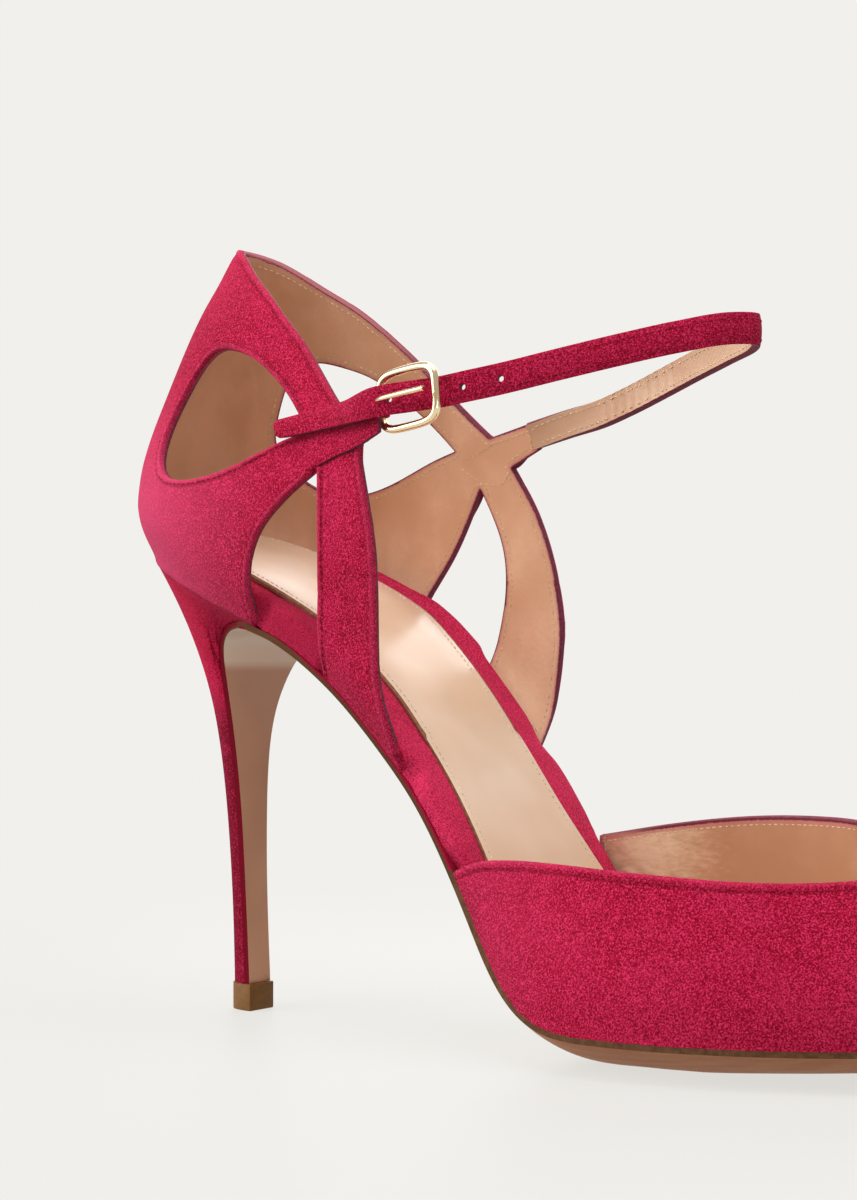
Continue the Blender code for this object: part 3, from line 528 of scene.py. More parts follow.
def sort_faces(piece, start, reach, outward, least=0.0):
    """Marks the faces of a leather piece as outside, lining or cut edge.

    That goes by what lies behind each face, from a start to a reach in millimetres, and by the way it faces.
    """
    tree = surface(piece.data)
    for face in piece.data.polygons:
        hit = tree.ray_cast(face.center - face.normal * start * MM, -face.normal, reach * MM)
        facing = face.normal.dot(outward(face.center).normalized())
        if hit[0] is None or abs(facing) < least:
            face.material_index = CUT
        else:
            face.material_index = OUTSIDE if facing > 0 else LINING


RIM_PAIRS = ({OUTSIDE, CUT}, {LINING, CUT})


def kinds_at(edge):
    """Kinds of face that meet at an edge."""
    return {face.material_index for face in edge.link_faces}


def sharpen(piece, edge_crease, corner=75.0, fold=45.0):
    """Creases a wall's cut edges and its folds, and holds its corners."""
    body = bmesh.new()
    body.from_mesh(piece.data)
    crease = body.edges.layers.float.new("crease_edge")
    hold = body.verts.layers.float.new("crease_vert")
    for edge in body.edges:
        if len(edge.link_faces) == 2:
            kinds = kinds_at(edge)
            if len(kinds) == 2:
                edge[crease] = edge_crease
            elif kinds == {CUT} and edge.calc_face_angle(0.0) > math.radians(fold):
                edge[crease] = 1.0
    for vertex in body.verts:
        rims = [edge for edge in vertex.link_edges if kinds_at(edge) in RIM_PAIRS]
        if len(rims) == 2:
            ways = [(edge.other_vert(vertex).co - vertex.co).normalized() for edge in rims]
            if math.pi - ways[0].angle(ways[1]) > math.radians(corner):
                vertex[hold] = 1.0
    body.to_mesh(piece.data)
    body.free()


def crease_folds(piece, fold, amount):
    """Creases every edge where a solid's faces turn by more than an angle."""
    body = bmesh.new()
    body.from_mesh(piece.data)
    crease = body.edges.layers.float.new("crease_edge")
    for edge in body.edges:
        if edge.calc_face_angle(0.0) > math.radians(fold):
            edge[crease] = amount
    body.to_mesh(piece.data)
    body.free()


def settle(piece, tree):
    """Closes the thin gap between a piece and what it stands on."""
    for vertex in piece.data.vertices:
        spot, _, _, distance = tree.find_nearest(vertex.co, SETTLE_REACH * MM)
        if spot is not None:
            share = 1.0 - float(step(0.35, SETTLE_REACH, distance / MM))
            vertex.co = vertex.co.lerp(spot, 0.96 * share)
    piece.data.update()


def line_tree(piece, lines):
    """Search tree over the vertices of some lines."""
    marks = sorted({index for line in lines for index in line})
    tree = KDTree(len(marks))
    for k, index in enumerate(marks):
        tree.insert(piece.data.vertices[index].co, k)
    tree.balance()
    return tree


def distances(piece, lines):
    """Each vertex's distance from the nearest vertex of some lines, in millimetres."""
    tree = line_tree(piece, lines)
    return np.array([tree.find(vertex.co)[2] for vertex in piece.data.vertices]) / MM


def turn_edges(piece, lines):
    """Lets the suede turn a little way over the cut edges along its hems, further on the outer side."""
    tree = line_tree(piece, lines)
    for face in piece.data.polygons:
        turned = TURNED_EDGES[face.center.y < 0.0]
        if face.material_index == CUT and tree.find(face.center)[2] < turned * MM:
            face.material_index = OUTSIDE


def rim_loops(piece, kind):
    """Chains of vertices round the faces of one kind, with those faces on their left.

    A closed chain ends at its start.
    """
    body = bmesh.new()
    body.from_mesh(piece.data)
    after = {}
    for edge in body.edges:
        if kinds_at(edge) == {kind, CUT}:
            face = next(face for face in edge.link_faces if face.material_index == kind)
            loop = next(loop for loop in face.loops if loop.edge == edge)
            after[loop.vert.index] = loop.link_loop_next.vert.index
    body.free()
    starts = sorted(set(after) - set(after.values())) + sorted(after)
    loops = []
    for first in starts:
        if first not in after:
            continue
        chain = [first]
        at = after.pop(first)
        while at in after:
            chain.append(at)
            at = after.pop(at)
        loops.append(chain + [at])
    return loops


def hem_lines(piece, kind, seats, least=8):
    """Stretches of a wall's cut edges that stand clear of the sole: lists of vertices."""
    lines = []
    for loop in rim_loops(piece, kind):
        vertices = [piece.data.vertices[index].co for index in loop]
        clear = [seats.find_nearest(point, SEAT_REACH * MM)[0] is None for point in vertices]
        if all(clear):
            lines.append(loop)
            continue
        if loop[0] == loop[-1]:
            start = clear.index(False)
            loop = loop[start:-1] + loop[:start + 1]
            clear = clear[start:-1] + clear[:start + 1]
        line = []
        for index, free in zip(loop + [None], clear + [False]):
            if free:
                line.append(index)
            else:
                lines.append(line)
                line = []
    return [line for line in lines if len(line) >= least]


def measure_hems(piece, lines, groove):
    """Stores each vertex's distance from the nearest hem and from the groove inside it, in millimetres."""
    far = np.minimum(distances(piece, lines), HEM_FAR)
    store(piece, "hem", far)
    store(piece, "groove", np.abs(far - groove))
    return far


def store(piece, name, values):
    attribute = piece.data.attributes.new(name, "FLOAT", "POINT")
    attribute.data.foreach_set("value", np.array(values, np.float32))


def no_hem(piece):
    for name in ("hem", "groove"):
        store(piece, name, [HEM_FAR] * len(piece.data.vertices))


def kind_vertices(mesh, kind):
    """Whether each vertex lies only on faces of one kind."""
    found = np.zeros(len(mesh.vertices), bool)
    other = np.zeros(len(mesh.vertices), bool)
    for face in mesh.polygons:
        target = found if face.material_index == kind else other
        target[list(face.vertices)] = True
    return found & ~other


def push(piece, amounts):
    """Moves vertices along their normals by amounts in millimetres."""
    mesh = piece.data
    points = np.zeros((len(mesh.vertices), 3), np.float32)
    normals = np.zeros_like(points)
    mesh.vertices.foreach_get("co", points.ravel())
    mesh.vertex_normals.foreach_get("vector", normals.ravel())
    points += normals * (np.asarray(amounts, np.float32) * MM)[:, None]
    mesh.vertices.foreach_set("co", points.ravel())
    mesh.update()


def coordinates(mesh):
    points = np.zeros(len(mesh.vertices) * 3, np.float32)
    mesh.vertices.foreach_get("co", points)
    return points.reshape(-1, 3) / MM


def roll_hems(piece, far, groove):
    """Rolls the leather over at its hems, with a groove under the stitches."""
    roll = HEM_ROLL * np.sin(np.pi * np.clip(far / groove, 0.0, 1.0))
    dip = GROOVE_DEPTH * np.exp(-((far - groove) / GROOVE_WIDTH) ** 2)
    push(piece, np.where(kind_vertices(piece.data, OUTSIDE), roll - dip, 0.0))


def press(piece, kind, creases):
    """Soft troughs in a wall's face: rows of start, end, half width and depth in millimetres."""
    points = coordinates(piece.data)
    amounts = np.zeros(len(points))
    for start, end, width, depth in creases:
        a, b = (np.array(place(*corner)) / MM for corner in (start, end))
        along = b - a
        t = np.clip((points - a) @ along / (along @ along), 0.0, 1.0)
        apart = np.linalg.norm(points - a - t[:, None] * along, axis=1)
        amounts -= depth * np.exp(-(apart / width) ** 2) * np.sin(np.pi * np.clip(t, 0.04, 0.96))
    push(piece, np.where(kind_vertices(piece.data, kind), amounts, 0.0))


# Stitches


def stitch_shape():
    """Points and faces of one stitch of unit size."""
    ball = fresh(bpy.ops.mesh.primitive_uv_sphere_add, segments=6, ring_count=5, radius=1.0)
    points = np.array([vertex.co for vertex in ball.data.vertices])
    faces = [tuple(face.vertices) for face in ball.data.polygons]
    bpy.data.objects.remove(ball, do_unlink=True)
    return points, faces


def inset_line(piece, line, kind, inset):
    """A seam line that runs a distance inside a hem: points and normals on the surface."""
    mesh = piece.data
    tree = surface(mesh, kind)
    points = np.array([mesh.vertices[index].co for index in line])
    runs = np.gradient(points, axis=0)
    if line[0] == line[-1]:
        runs[0] = runs[-1] = points[1] - points[-2]
    seam = []
    for point, run in zip(points, runs):
        near = tree.find_nearest(Vector(point))
        inward = near[1].cross(Vector(run)).normalized()
        spot = tree.find_nearest(Vector(point) + inward * inset * MM)
        seam.append(spot[:2])
    return seam


def lengths(points):
    """Length along a line of points, at each of them."""
    return np.concatenate(([0.0], np.cumsum(np.linalg.norm(np.diff(points, axis=0), axis=1))))


def even_steps(seam, pitch):
    """Places an even pitch apart along a seam line: point, normal and direction."""
    points = np.array([row[0] for row in seam])
    normals = np.array([row[1] for row in seam])
    length = lengths(points)
    keep = np.concatenate(([True], np.diff(length) > 1e-7))
    points, normals, length = points[keep], normals[keep], length[keep]
    if length[-1] < 2 * pitch * MM:
        return []
    places = np.arange(pitch * MM * 0.5, length[-1], pitch * MM)

    def rows_at(spots, rows):
        return np.stack([np.interp(spots, length, rows[:, k]) for k in range(3)], axis=1)

    run = rows_at(places + 0.4 * MM, points) - rows_at(places - 0.4 * MM, points)
    return list(zip(rows_at(places, points), rows_at(places, normals), run))


def make_stitches(name, seams, material):
    """All the stitches of one thread, joined in one piece."""
    shape, shape_faces = stitch_shape()
    points = []
    faces = []
    for seam in seams:
        for at, up, run in even_steps(seam, STITCH_PITCH):
            size = np.linalg.norm(run)
            if size < 1e-9:
                continue
            run = run / size
            up = up - run * (up @ run)
            up = up / np.linalg.norm(up)
            across = np.cross(up, run)
            first = len(points) * len(shape)
            body = shape * np.array((STITCH_LENGTH / 2, STITCH_RADIUS, STITCH_RADIUS)) * MM
            body = body[:, :1] * run + body[:, 1:2] * across + body[:, 2:3] * up
            points.append(at + up * STITCH_RISE * MM + body)
            faces += [tuple(first + k for k in face) for face in shape_faces]
    mesh = bpy.data.meshes.new(name)
    mesh.from_pydata(np.concatenate(points).tolist(), [], faces)
    piece = added(name, mesh)
    wear(piece, material)
    complete(piece)


# Pieces of the shoe


# Station of the axis that the counter is rounded about, and place where the toe starts to narrow
HEEL_AXIS = 42.0
TOE_LINE = (180.0, 1.0, 15.0)
# What tells a wall's faces from its cut edges: start of the look behind, its reach in walls, least facing
WALL_START = 0.2
WALL_REACH = 1.5
WALL_FACING = 0.3


def from_heel_axis(point):
    """Direction out of the back quarter: away from the axis of its rounded heel."""
    axis = place(HEEL_AXIS, 0.0, 0.0).x
    return Vector((min(0.0, point.x - axis), point.y, 0.0))


def from_toe_line(point):
    """Direction out of the vamp: away from a line along the foot."""
    front = place(*TOE_LINE)
    return Vector((max(0.0, point.x - front.x), point.y - front.y, point.z - front.z))


def hem_wall(wall, seats, hem, footed):
    """Rounds a wall, and rolls its hems: gives its outer hems, its outer seam lines and its inner ones."""
    sharpen(wall, 0.8)
    subdivide(wall, 3)
    outer_hems, inner_hems = (hem_lines(wall, kind, seats) for kind in (OUTSIDE, LINING))
    roll_hems(wall, measure_hems(wall, outer_hems + inner_hems, hem), hem)
    if footed:
        mark_foot(wall, outer_hems)
    outer = [inset_line(wall, line, OUTSIDE, hem) for line in outer_hems]
    inner = [inset_line(wall, line, LINING, LINING_SEAM) for line in inner_hems]
    return outer_hems, outer, inner


def make_vamp(suede, lining, edge, seats):
    vamp = copied("vamp", suede, lining, edge)
    sort_faces(vamp, WALL_START, VAMP_WALL * WALL_REACH, from_toe_line, WALL_FACING)
    outer_hems, outer, inner = hem_wall(vamp, seats, VAMP_HEM, footed=False)
    press(vamp, LINING, VAMP_CREASES)
    turn_edges(vamp, outer_hems)
    # At the inner rear corner the cut end takes the lining instead of the wine edge, so the lining's painted
    # highlight runs over it
    for face in vamp.data.polygons:
        if face.material_index == CUT and face.center.y > VAMP_CORNER * MM and face.normal.x < -0.5:
            face.material_index = LINING
    settle(vamp, seats)
    complete(vamp, "vamp")
    return outer, inner


# How far in the vamp's inner rear corner starts
VAMP_CORNER = 20.0
# Creases in the vamp's lining at the inner rear corner: start, end, half width, depth
VAMP_CREASES = (
    ((107.0, 28.0, 36.0), (119.0, 31.0, 22.0), 1.3, 0.5),
    ((110.0, 28.0, 38.0), (124.0, 32.0, 24.0), 1.2, 0.4),
    ((114.0, 29.0, 39.0), (130.0, 33.0, 24.0), 1.6, 0.35),
)


def make_back_quarter(suede, lining, edge, seats):
    quarter = copied("back_quarter", suede, lining, edge, flat=60.0)
    sort_faces(quarter, WALL_START, UPPER_WALL * WALL_REACH, from_heel_axis, WALL_FACING)
    widen_inner_cutout(quarter)
    outer_hems, outer, inner = hem_wall(quarter, seats, QUARTER_HEM, footed=True)
    inner += cross_seams(quarter)
    press(quarter, LINING, COUNTER_CREASES)
    turn_edges(quarter, outer_hems)
    round_peak(quarter)
    cover_band_end(quarter)
    settle(quarter, seats)
    complete(quarter, "back_quarter")
    return quarter, outer, inner


# The counter's round in plan, and how far its inner cut-out reaches back round it, in degrees, and up
COUNTER_LENGTH = 42.0
COUNTER_HALF = 31.0
CUTOUT_TURN = 10.0
CUTOUT_RISE = 1.5
# Spans over which that starts and ends: degrees round the counter, heights of the turn, heights of the rise
CUTOUT_ROUND = ((10.0, 45.0), (70.0, 95.0))
CUTOUT_TURN_HEIGHTS = ((122.0, 136.0), (150.0, 158.0))
CUTOUT_RISE_HEIGHTS = ((136.0, 148.0), (153.0, 160.0))


def widen_inner_cutout(quarter):
    """Lets the cut-out of the inner side reach further round the heel, and a little higher."""
    for vertex in quarter.data.vertices:
        station, side, height = where(vertex.co)
        if side <= 0.0:
            continue
        ahead, out = 1.0 - station / COUNTER_LENGTH, side / COUNTER_HALF
        reach, turn = math.hypot(ahead, out), math.degrees(math.atan2(out, ahead))
        share = float(within(*CUTOUT_ROUND, turn))
        turn = math.radians(turn - CUTOUT_TURN * share * float(within(*CUTOUT_TURN_HEIGHTS, height)))
        station = COUNTER_LENGTH * (1.0 - reach * math.cos(turn))
        rise = CUTOUT_RISE * share * float(within(*CUTOUT_RISE_HEIGHTS, height))
        vertex.co = place(station, COUNTER_HALF * reach * math.sin(turn), height + rise)


# Soft dents in the counter's lining: start, end, half width, depth
COUNTER_CREASES = (
    ((14.0, 20.0, 118.0), (20.0, 20.0, 150.0), 2.6, 0.5),
    ((26.0, 26.0, 112.0), (30.0, 24.0, 120.0), 2.2, 0.4),
    ((60.0, 31.0, 96.0), (70.0, 31.0, 99.0), 1.6, 0.35),
)

FOOT_STEP = 0.3


def mark_foot(wall, hems):
    """Lets a wall stand a little proud where it meets sole and heel, with a dark line along its foot."""
    hem = {index for line in hems for index in line}
    foot = [index for loop in rim_loops(wall, OUTSIDE) for index in loop if index not in hem]
    near = distances(wall, [foot])
    groove = wall.data.attributes["groove"].data
    for k, distance in enumerate(near):
        groove[k].value = min(groove[k].value, distance)
    outside = kind_vertices(wall.data, OUTSIDE)
    push(wall, np.where(outside, FOOT_STEP * (1.0 - step(0.3, 2.5, near)), 0.0))


# Seams across the lining where the inner bands meet, in side view: station, height
CROSS_SEAMS = (
    ((66.6, 128.4), (69.7, 128.6), (74.2, 130.4), (77.9, 132.2)),
    ((66.3, 126.5), (72.0, 122.5), (77.0, 122.0), (80.6, 125.5)),
)


def traced(tree, starts, way):
    """A seam line where looks to one side meet a surface: points and normals."""
    hits = [tree.ray_cast(start, Vector((0.0, way, 0.0))) for start in starts]
    return [hit[:2] for hit in hits if hit[0] is not None]


def cross_seams(quarter):
    """Seam lines on the lining, found by looking out from the middle of the shoe."""
    tree = surface(quarter.data, LINING)
    seams = []
    for corners in CROSS_SEAMS:
        starts = []
        for (s0, h0), (s1, h1) in zip(corners, corners[1:]):
            starts += [place(s0 + (s1 - s0) * t, 0.0, h0 + (h1 - h0) * t) for t in np.linspace(0.0, 1.0, 8)]
        seams.append(traced(tree, starts, 1.0))
    return seams


# The collar's peak: last station, height it is smoothed from,
# bead inside it and rise, each with its span of heights
PEAK_AHEAD = 14.0
PEAK_FROM = 172.0
PEAK_BEAD = (1.9, 164.0, 174.0)
PEAK_RISE = (0.7, 168.0, 177.0)


def round_peak(wall):
    """Rounds the collar off where it passes over the back seam."""
    bead, low, high = PEAK_BEAD
    for vertex, lined in zip(wall.data.vertices, kind_vertices(wall.data, LINING)):
        station, _, height = where(vertex.co)
        if lined and station < PEAK_AHEAD:
            vertex.co.x += bead * MM * float(step(low, high, height))
    pick(wall)
    bpy.ops.object.mode_set(mode="EDIT")
    bpy.ops.mesh.select_mode(type="VERT")
    bpy.ops.mesh.select_all(action="DESELECT")
    bpy.ops.object.mode_set(mode="OBJECT")
    for vertex in wall.data.vertices:
        vertex.select = vertex.co.z > PEAK_FROM * MM
    bpy.ops.object.mode_set(mode="EDIT")
    bpy.ops.mesh.vertices_smooth(factor=0.5, repeat=3)
    bpy.ops.object.mode_set(mode="OBJECT")
    rise, low, high = PEAK_RISE
    for vertex in wall.data.vertices:
        vertex.co.z += rise * MM * float(step(low, high, vertex.co.z / MM))


# The outer band's end: its middle height, the heights it lies between, stations and heights over which
# it is tucked in, how far it is tucked to its middle and inward, and where its suede turns over the cut edge
BAND_MIDDLE = 131.0
BAND_HEIGHTS = (122.0, 140.0)
TUCK_STATIONS = (77.0, 80.0)
TUCK_HEIGHTS = (123.0, 126.5)
TUCK_SHARE = 0.4
TUCK_IN = 0.9
TURN_FROM = (79.5, 124.0)


def cover_band_end(quarter):
    """Turns the suede over the end of the outer band, behind the buckle."""
    for vertex in quarter.data.vertices:
        station, side, height = where(vertex.co)
        if side < 0.0 and BAND_HEIGHTS[0] < height < BAND_HEIGHTS[1]:
            tucked = float(step(*TUCK_STATIONS, station) * step(*TUCK_HEIGHTS, height))
            vertex.co.z += (BAND_MIDDLE - height) * TUCK_SHARE * tucked * MM
            vertex.co.y += TUCK_IN * tucked * MM
    for face in quarter.data.polygons:
        station, side, height = where(face.center)
        if face.material_index == CUT and side < 0.0 and station > TURN_FROM[0] and height > TURN_FROM[1]:
            face.material_index = OUTSIDE


# The band that crosses over each side strap: its side, and its lower and upper edge as stations and heights
CROSSINGS = {
    "outer_crossing": (
        -1,
        ((60.0, 115.4), (64.7, 119.2), (70.0, 122.3), (75.0, 124.4), (80.3, 125.8), (88.0, 128.8)),
        ((60.0, 129.2), (65.4, 130.8), (70.0, 132.0), (75.7, 133.3), (79.0, 134.0), (88.0, 135.6)),
    ),
    "inner_crossing": (
        1,
        ((61.0, 105.4), (66.4, 114.4), (71.0, 121.6), (76.0, 123.6), (80.6, 125.8), (87.0, 129.6)),
        ((61.0, 129.5), (65.4, 130.6), (70.0, 131.6), (75.7, 132.8), (81.0, 134.0), (87.0, 134.6)),
    ),
}
BAND_END = 76.5
BUCKLE_BAR = (88.0, -32.0)
CROSSING_COLUMNS = 56
CROSSING_ROWS = 20
# Stations over which the band's leather comes up from under the wall, and goes under the inner strap again
CROSSING_RISE = (63.0, 71.0)
CROSSING_FALL = (81.0, 86.0)
BAND_SUNK = 0.35
BAND_SEAM = 1.3
# Looks in from one side: where they start, how far they reach, and where the nearest wall is sought
LOOK_FROM = 60.0
LOOK_REACH = 45.0
LOOK_NEAR = 30.0


def along_table(rows, share):
    """A place a share of the way along a table of stations and heights."""
    table = np.array(rows)
    station = table[0, 0] + (table[-1, 0] - table[0, 0]) * share
    return station, float(np.interp(station, table[:, 0], table[:, 1]))


def find_side(tree, station, height, side):
    """Where a look in from one side meets a wall: point and normal."""
    hit = tree.ray_cast(place(station, side * LOOK_FROM, height), Vector((0.0, -side, 0.0)), LOOK_REACH * MM)
    if hit[0] is None:
        hit = tree.find_nearest(place(station, side * LOOK_NEAR, height))
    return hit[:2]


def make_crossing(name, quarter, suede, edge):
    """The band's own leather where it lies over the side strap, and its two seam lines."""
    side, lower, upper = CROSSINGS[name]
    tree = surface(quarter.data, OUTSIDE)
    band = fresh(bpy.ops.mesh.primitive_grid_add, size=1.0,
                 x_subdivisions=CROSSING_COLUMNS, y_subdivisions=CROSSING_ROWS)
    band.name = name
    wear(band, suede, edge, edge)
    for vertex in band.data.vertices:
        share = vertex.co.x + 0.5
        across = vertex.co.y + 0.5
        station, low = along_table(lower, share)
        high = along_table(upper, share)[1]
        height = low + (high - low) * across
        spot, normal = find_side(tree, station, height, side)
        if side < 0 and station > BAND_END:
            spot, normal = find_side(tree, BAND_END, height, side)
            beyond = (station - BAND_END) / (BUCKLE_BAR[0] - BAND_END)
            sideways = spot.y / MM + (BUCKLE_BAR[1] - spot.y / MM) * beyond
            spot = place(station, sideways, height)
        shown = float(step(*CROSSING_RISE, station))
        if side > 0:
            shown *= 1.0 - float(step(*CROSSING_FALL, station))
        lift = BAND_LIFT * shown - BAND_SUNK * (1.0 - shown)
        vertex.co = spot + normal * lift * MM
    if side < 0:
        pick(band)
        bpy.ops.object.mode_set(mode="EDIT")
        bpy.ops.mesh.select_all(action="SELECT")
        bpy.ops.mesh.normals_make_consistent(inside=False)
        bpy.ops.object.mode_set(mode="OBJECT")
    if band.data.polygons[0].normal.y * side < 0:
        band.data.flip_normals()
    finish_with(band, "SMOOTH", factor=0.5, iterations=4)
    thicken(band, BAND_LEATHER, -1.0)
    bevel(band, 0.28, 2, 30.0)
    no_hem(band)
    top = surface(band.data)
    seams = []
    for rim, inset in ((lower, BAND_SEAM), (upper, -BAND_SEAM)):
        rows = [along_table(rim, share) for share in np.linspace(0.25, 1.0, 40)]
        starts = [place(station, side * LOOK_FROM, height + inset) for station, height in rows]
        seams.append(traced(top, starts, -side))
    complete(band)
    return seams


def node_tree(*nodes):
    """Search tree over some of the solids."""
    points = []
    faces = []
    for node in nodes:
        mesh = frame["nodes"][node].data
        first = len(points)
        points += [vertex.co for vertex in mesh.vertices]
        faces += [tuple(first + k for k in face.vertices) for face in mesh.polygons]
    return BVHTree.FromPolygons(points, faces)


# Lift of the heel seat: station, lift of the footbed, further lift of its inner rim
HEEL_SEAT = (
    (0.0, 2.3, 2.0), (20.0, 2.2, 2.6), (30.0, 2.0, 3.0), (45.0, 1.6, 3.4), (55.0, 1.2, 3.6), (60.0, 1.1, 3.5),
    (66.0, 0.8, 3.2), (74.0, 0.3, 2.3), (80.0, 0.0, 1.3), (88.0, 0.0, 0.3), (94.0, 0.0, 0.0),
)
INSOLE_RIM = 23.5
SOCK_RIM = 60.0
# Stretches where the insole's edge shows: side, first station, last station, half width
OPEN_EDGES = (
    (-1, 50.5, 71.5, 28.45), (-1, 88.5, 104.5, 28.45),
    (1, 56.0, 71.0, 28.3), (1, 89.0, 105.5, 25.6),
)
RIM_FADE = 3.0
SOCK_SINK_STATIONS = (50.0, 66.0)


def lift_seat(piece, rim_from):
    """Lifts the top of a layer of the footbed at the heel, and its inner rim further."""
    points = coordinates(piece.data)
    stations = points[:, 0] - REAR
    bins = np.arange(0.0, 100.0, 3.0)
    low = np.array([points[np.abs(stations - at) < 3.0, 2].min(initial=200.0) for at in bins])
    high = np.array([points[np.abs(stations - at) < 1.5, 2].max(initial=0.0) for at in bins])
    floor, top = np.interp(stations, bins, low), np.interp(stations, bins, high)
    share = np.clip((points[:, 2] - floor) / np.maximum(top - floor, 0.5), 0.0, 1.0)
    table = np.array(HEEL_SEAT)
    lift = np.interp(stations, table[:, 0], table[:, 1])
    rim = np.interp(stations, table[:, 0], table[:, 2]) * step(rim_from, rim_from + 2.0, points[:, 1])
    for vertex, rise in zip(piece.data.vertices, (lift + rim) * step(0.1, 0.8, share)):
        vertex.co.z += rise * MM
    piece.data.update()


def fill_edges(piece):
    """Brings the insole's edge flush with the sole where it shows."""
    points = coordinates(piece.data)
    stations = points[:, 0] - REAR
    sides = points[:, 1].copy()
    for side, first, last, width in OPEN_EDGES:
        inside = within((first - RIM_FADE, first), (last, last + RIM_FADE), stations)
        outward = sides * side
        bins = np.arange(first - 3.0, last + 3.0, 1.0)
        reach = np.array([outward[np.abs(stations - at) < 0.8].max(initial=26.0) for at in bins])
        grown = width / np.interp(stations, bins, reach)
        sides *= 1.0 + (grown - 1.0) * inside * step(20.0, 25.0, outward)
    for vertex, side in zip(piece.data.vertices, sides):
        vertex.co.y = side * MM
    piece.data.update()


def make_insole(suede):
    insole = copied("insole", suede)
    crease_folds(insole, 70.0, 1.0)
    subdivide(insole, 2)
    fill_edges(insole)
    settle(insole, node_tree("outsole", "heel"))
    lift_seat(insole, INSOLE_RIM)
    no_hem(insole)
    complete(insole, "insole")


def make_sock(leather, edge):
    sock = copied("sock", leather, leather, edge)
    sort_faces(sock, 0.1, 3.0, lambda point: Vector((0.0, 0.0, 1.0)))
    sharpen(sock, 0.9)
    subdivide(sock, 2)
    for vertex in sock.data.vertices:
        share = float(step(*SOCK_SINK_STATIONS, where(vertex.co)[0]))
        vertex.co.z -= (SOCK_SINK[0] + (SOCK_SINK[1] - SOCK_SINK[0]) * share) * MM
    lift_seat(sock, SOCK_RIM)
    seams = [inset_line(sock, loop, OUTSIDE, SOCK_SEAM) for loop in rim_loops(sock, OUTSIDE)]
    complete(sock, "sock")
    return seams


# The outsole's faces: its top, its underside, its edge, the edge behind the tread, and the tread itself
BACK_EDGE = 3
TREAD = 4
SHANK_START = 62.0
TREAD_START = 104.0
TOE_START = 140.0
BREAST_AHEAD = 45.0
# The breast's lower end is trimmed level: it reaches below the first height and ends at the second
BREAST_FOOT = (7.5, 6.25)


def make_outsole(leather, tread, brown, back_edge):
    """The outsole: brown along its edge, and edged with suede from the tread back and down the breast."""
    outsole = copied("outsole", brown, leather, brown, back_edge, tread)
    for face in outsole.data.polygons:
        station = where(face.center)[0]
        at_toe = station > TOE_START and abs(face.normal.z) < 0.5
        upward = face.normal.x < 0.0 if station < BREAST_AHEAD else face.normal.z > 0.0
        if abs(face.normal.y) > 0.75 or at_toe:
            face.material_index = CUT
        else:
            face.material_index = OUTSIDE if upward else LINING
    sharpen(outsole, 1.0)
    subdivide(outsole, 2)
    under = surface(outsole.data, LINING)
    store(outsole, "hem", [under.find_nearest(vertex.co)[3] / MM for vertex in outsole.data.vertices])
    for face in outsole.data.polygons:
        station = where(face.center)[0]
        if face.material_index == LINING:
            face.material_index = TREAD if station > SHANK_START else LINING
        elif station < TREAD_START:
            face.material_index = BACK_EDGE
    for vertex in outsole.data.vertices:
        if where(vertex.co)[0] < BREAST_AHEAD and vertex.co.z < BREAST_FOOT[0] * MM:
            vertex.co.z = BREAST_FOOT[1] * MM
    complete(outsole, "outsole")


def make_heel(suede):
    heel = copied("heel", suede)
    crease_folds(heel, 50.0, 1.0)
    subdivide(heel, 2)
    settle(heel, node_tree("outsole", "top_lift", "back_quarter"))
    no_hem(heel)
    complete(heel, "heel")


def make_top_lift(material):
    lift = copied("top_lift", material)
    bevel(lift, 0.35, 3, 40.0)
    complete(lift, "top_lift")


# Middle line of the ankle strap from the inner band round the front to its free end:
# station, side, height, lean of its face in degrees
ANKLE_STRAP = (
    (86.6, 27.5, 132.7, 18.0), (96.0, 28.5, 135.2, 7.0), (104.5, 28.7, 137.0, 0.0),
    (114.0, 25.4, 139.0, 0.0), (125.5, 20.6, 141.7, 0.0), (136.5, 15.6, 144.3, 0.0),
    (147.6, 10.4, 146.7, 0.0), (155.8, 5.6, 148.2, 0.0), (159.0, 0.0, 148.5, 0.0),
    (155.8, -5.6, 148.2, 0.0), (147.6, -10.4, 146.7, 0.0), (136.5, -15.6, 144.3, 0.0),
    (125.5, -20.6, 141.7, 0.0), (114.0, -25.4, 139.0, 0.0), (107.0, -28.2, 137.6, 0.0),
    (102.4, -29.4, 136.8, 0.0), (95.5, -31.6, 136.0, 0.0), (90.0, -33.3, 135.4, 0.0),
    (86.4, -33.9, 134.8, 3.0), (82.0, -33.1, 134.0, 8.0), (77.5, -31.4, 133.5, 13.0),
    (72.0, -30.3, 132.9, 16.0), (65.0, -30.3, 132.0, 16.0), (58.9, -30.8, 131.1, 15.0),
)
# Half width of the strap along its free end: station, half width
STRAP_TAIL = ((58.0, 1.9), (63.0, 2.05), (70.0, 2.3), (80.0, 2.5), (88.0, 3.1))
TIP_CORNER = 0.9
TIP_SLANT = 0.55
STRAP_ROWS = 12
STRAP_HOLES = (114.3, 106.7, 91.6)
HOLE_RADIUS = 0.65
PUNCH_DEPTH = 8.0
# Creases across the lining: first station, last station, pitch, depth
WRINKLES = (104.0, 134.0, 2.9, 0.26)


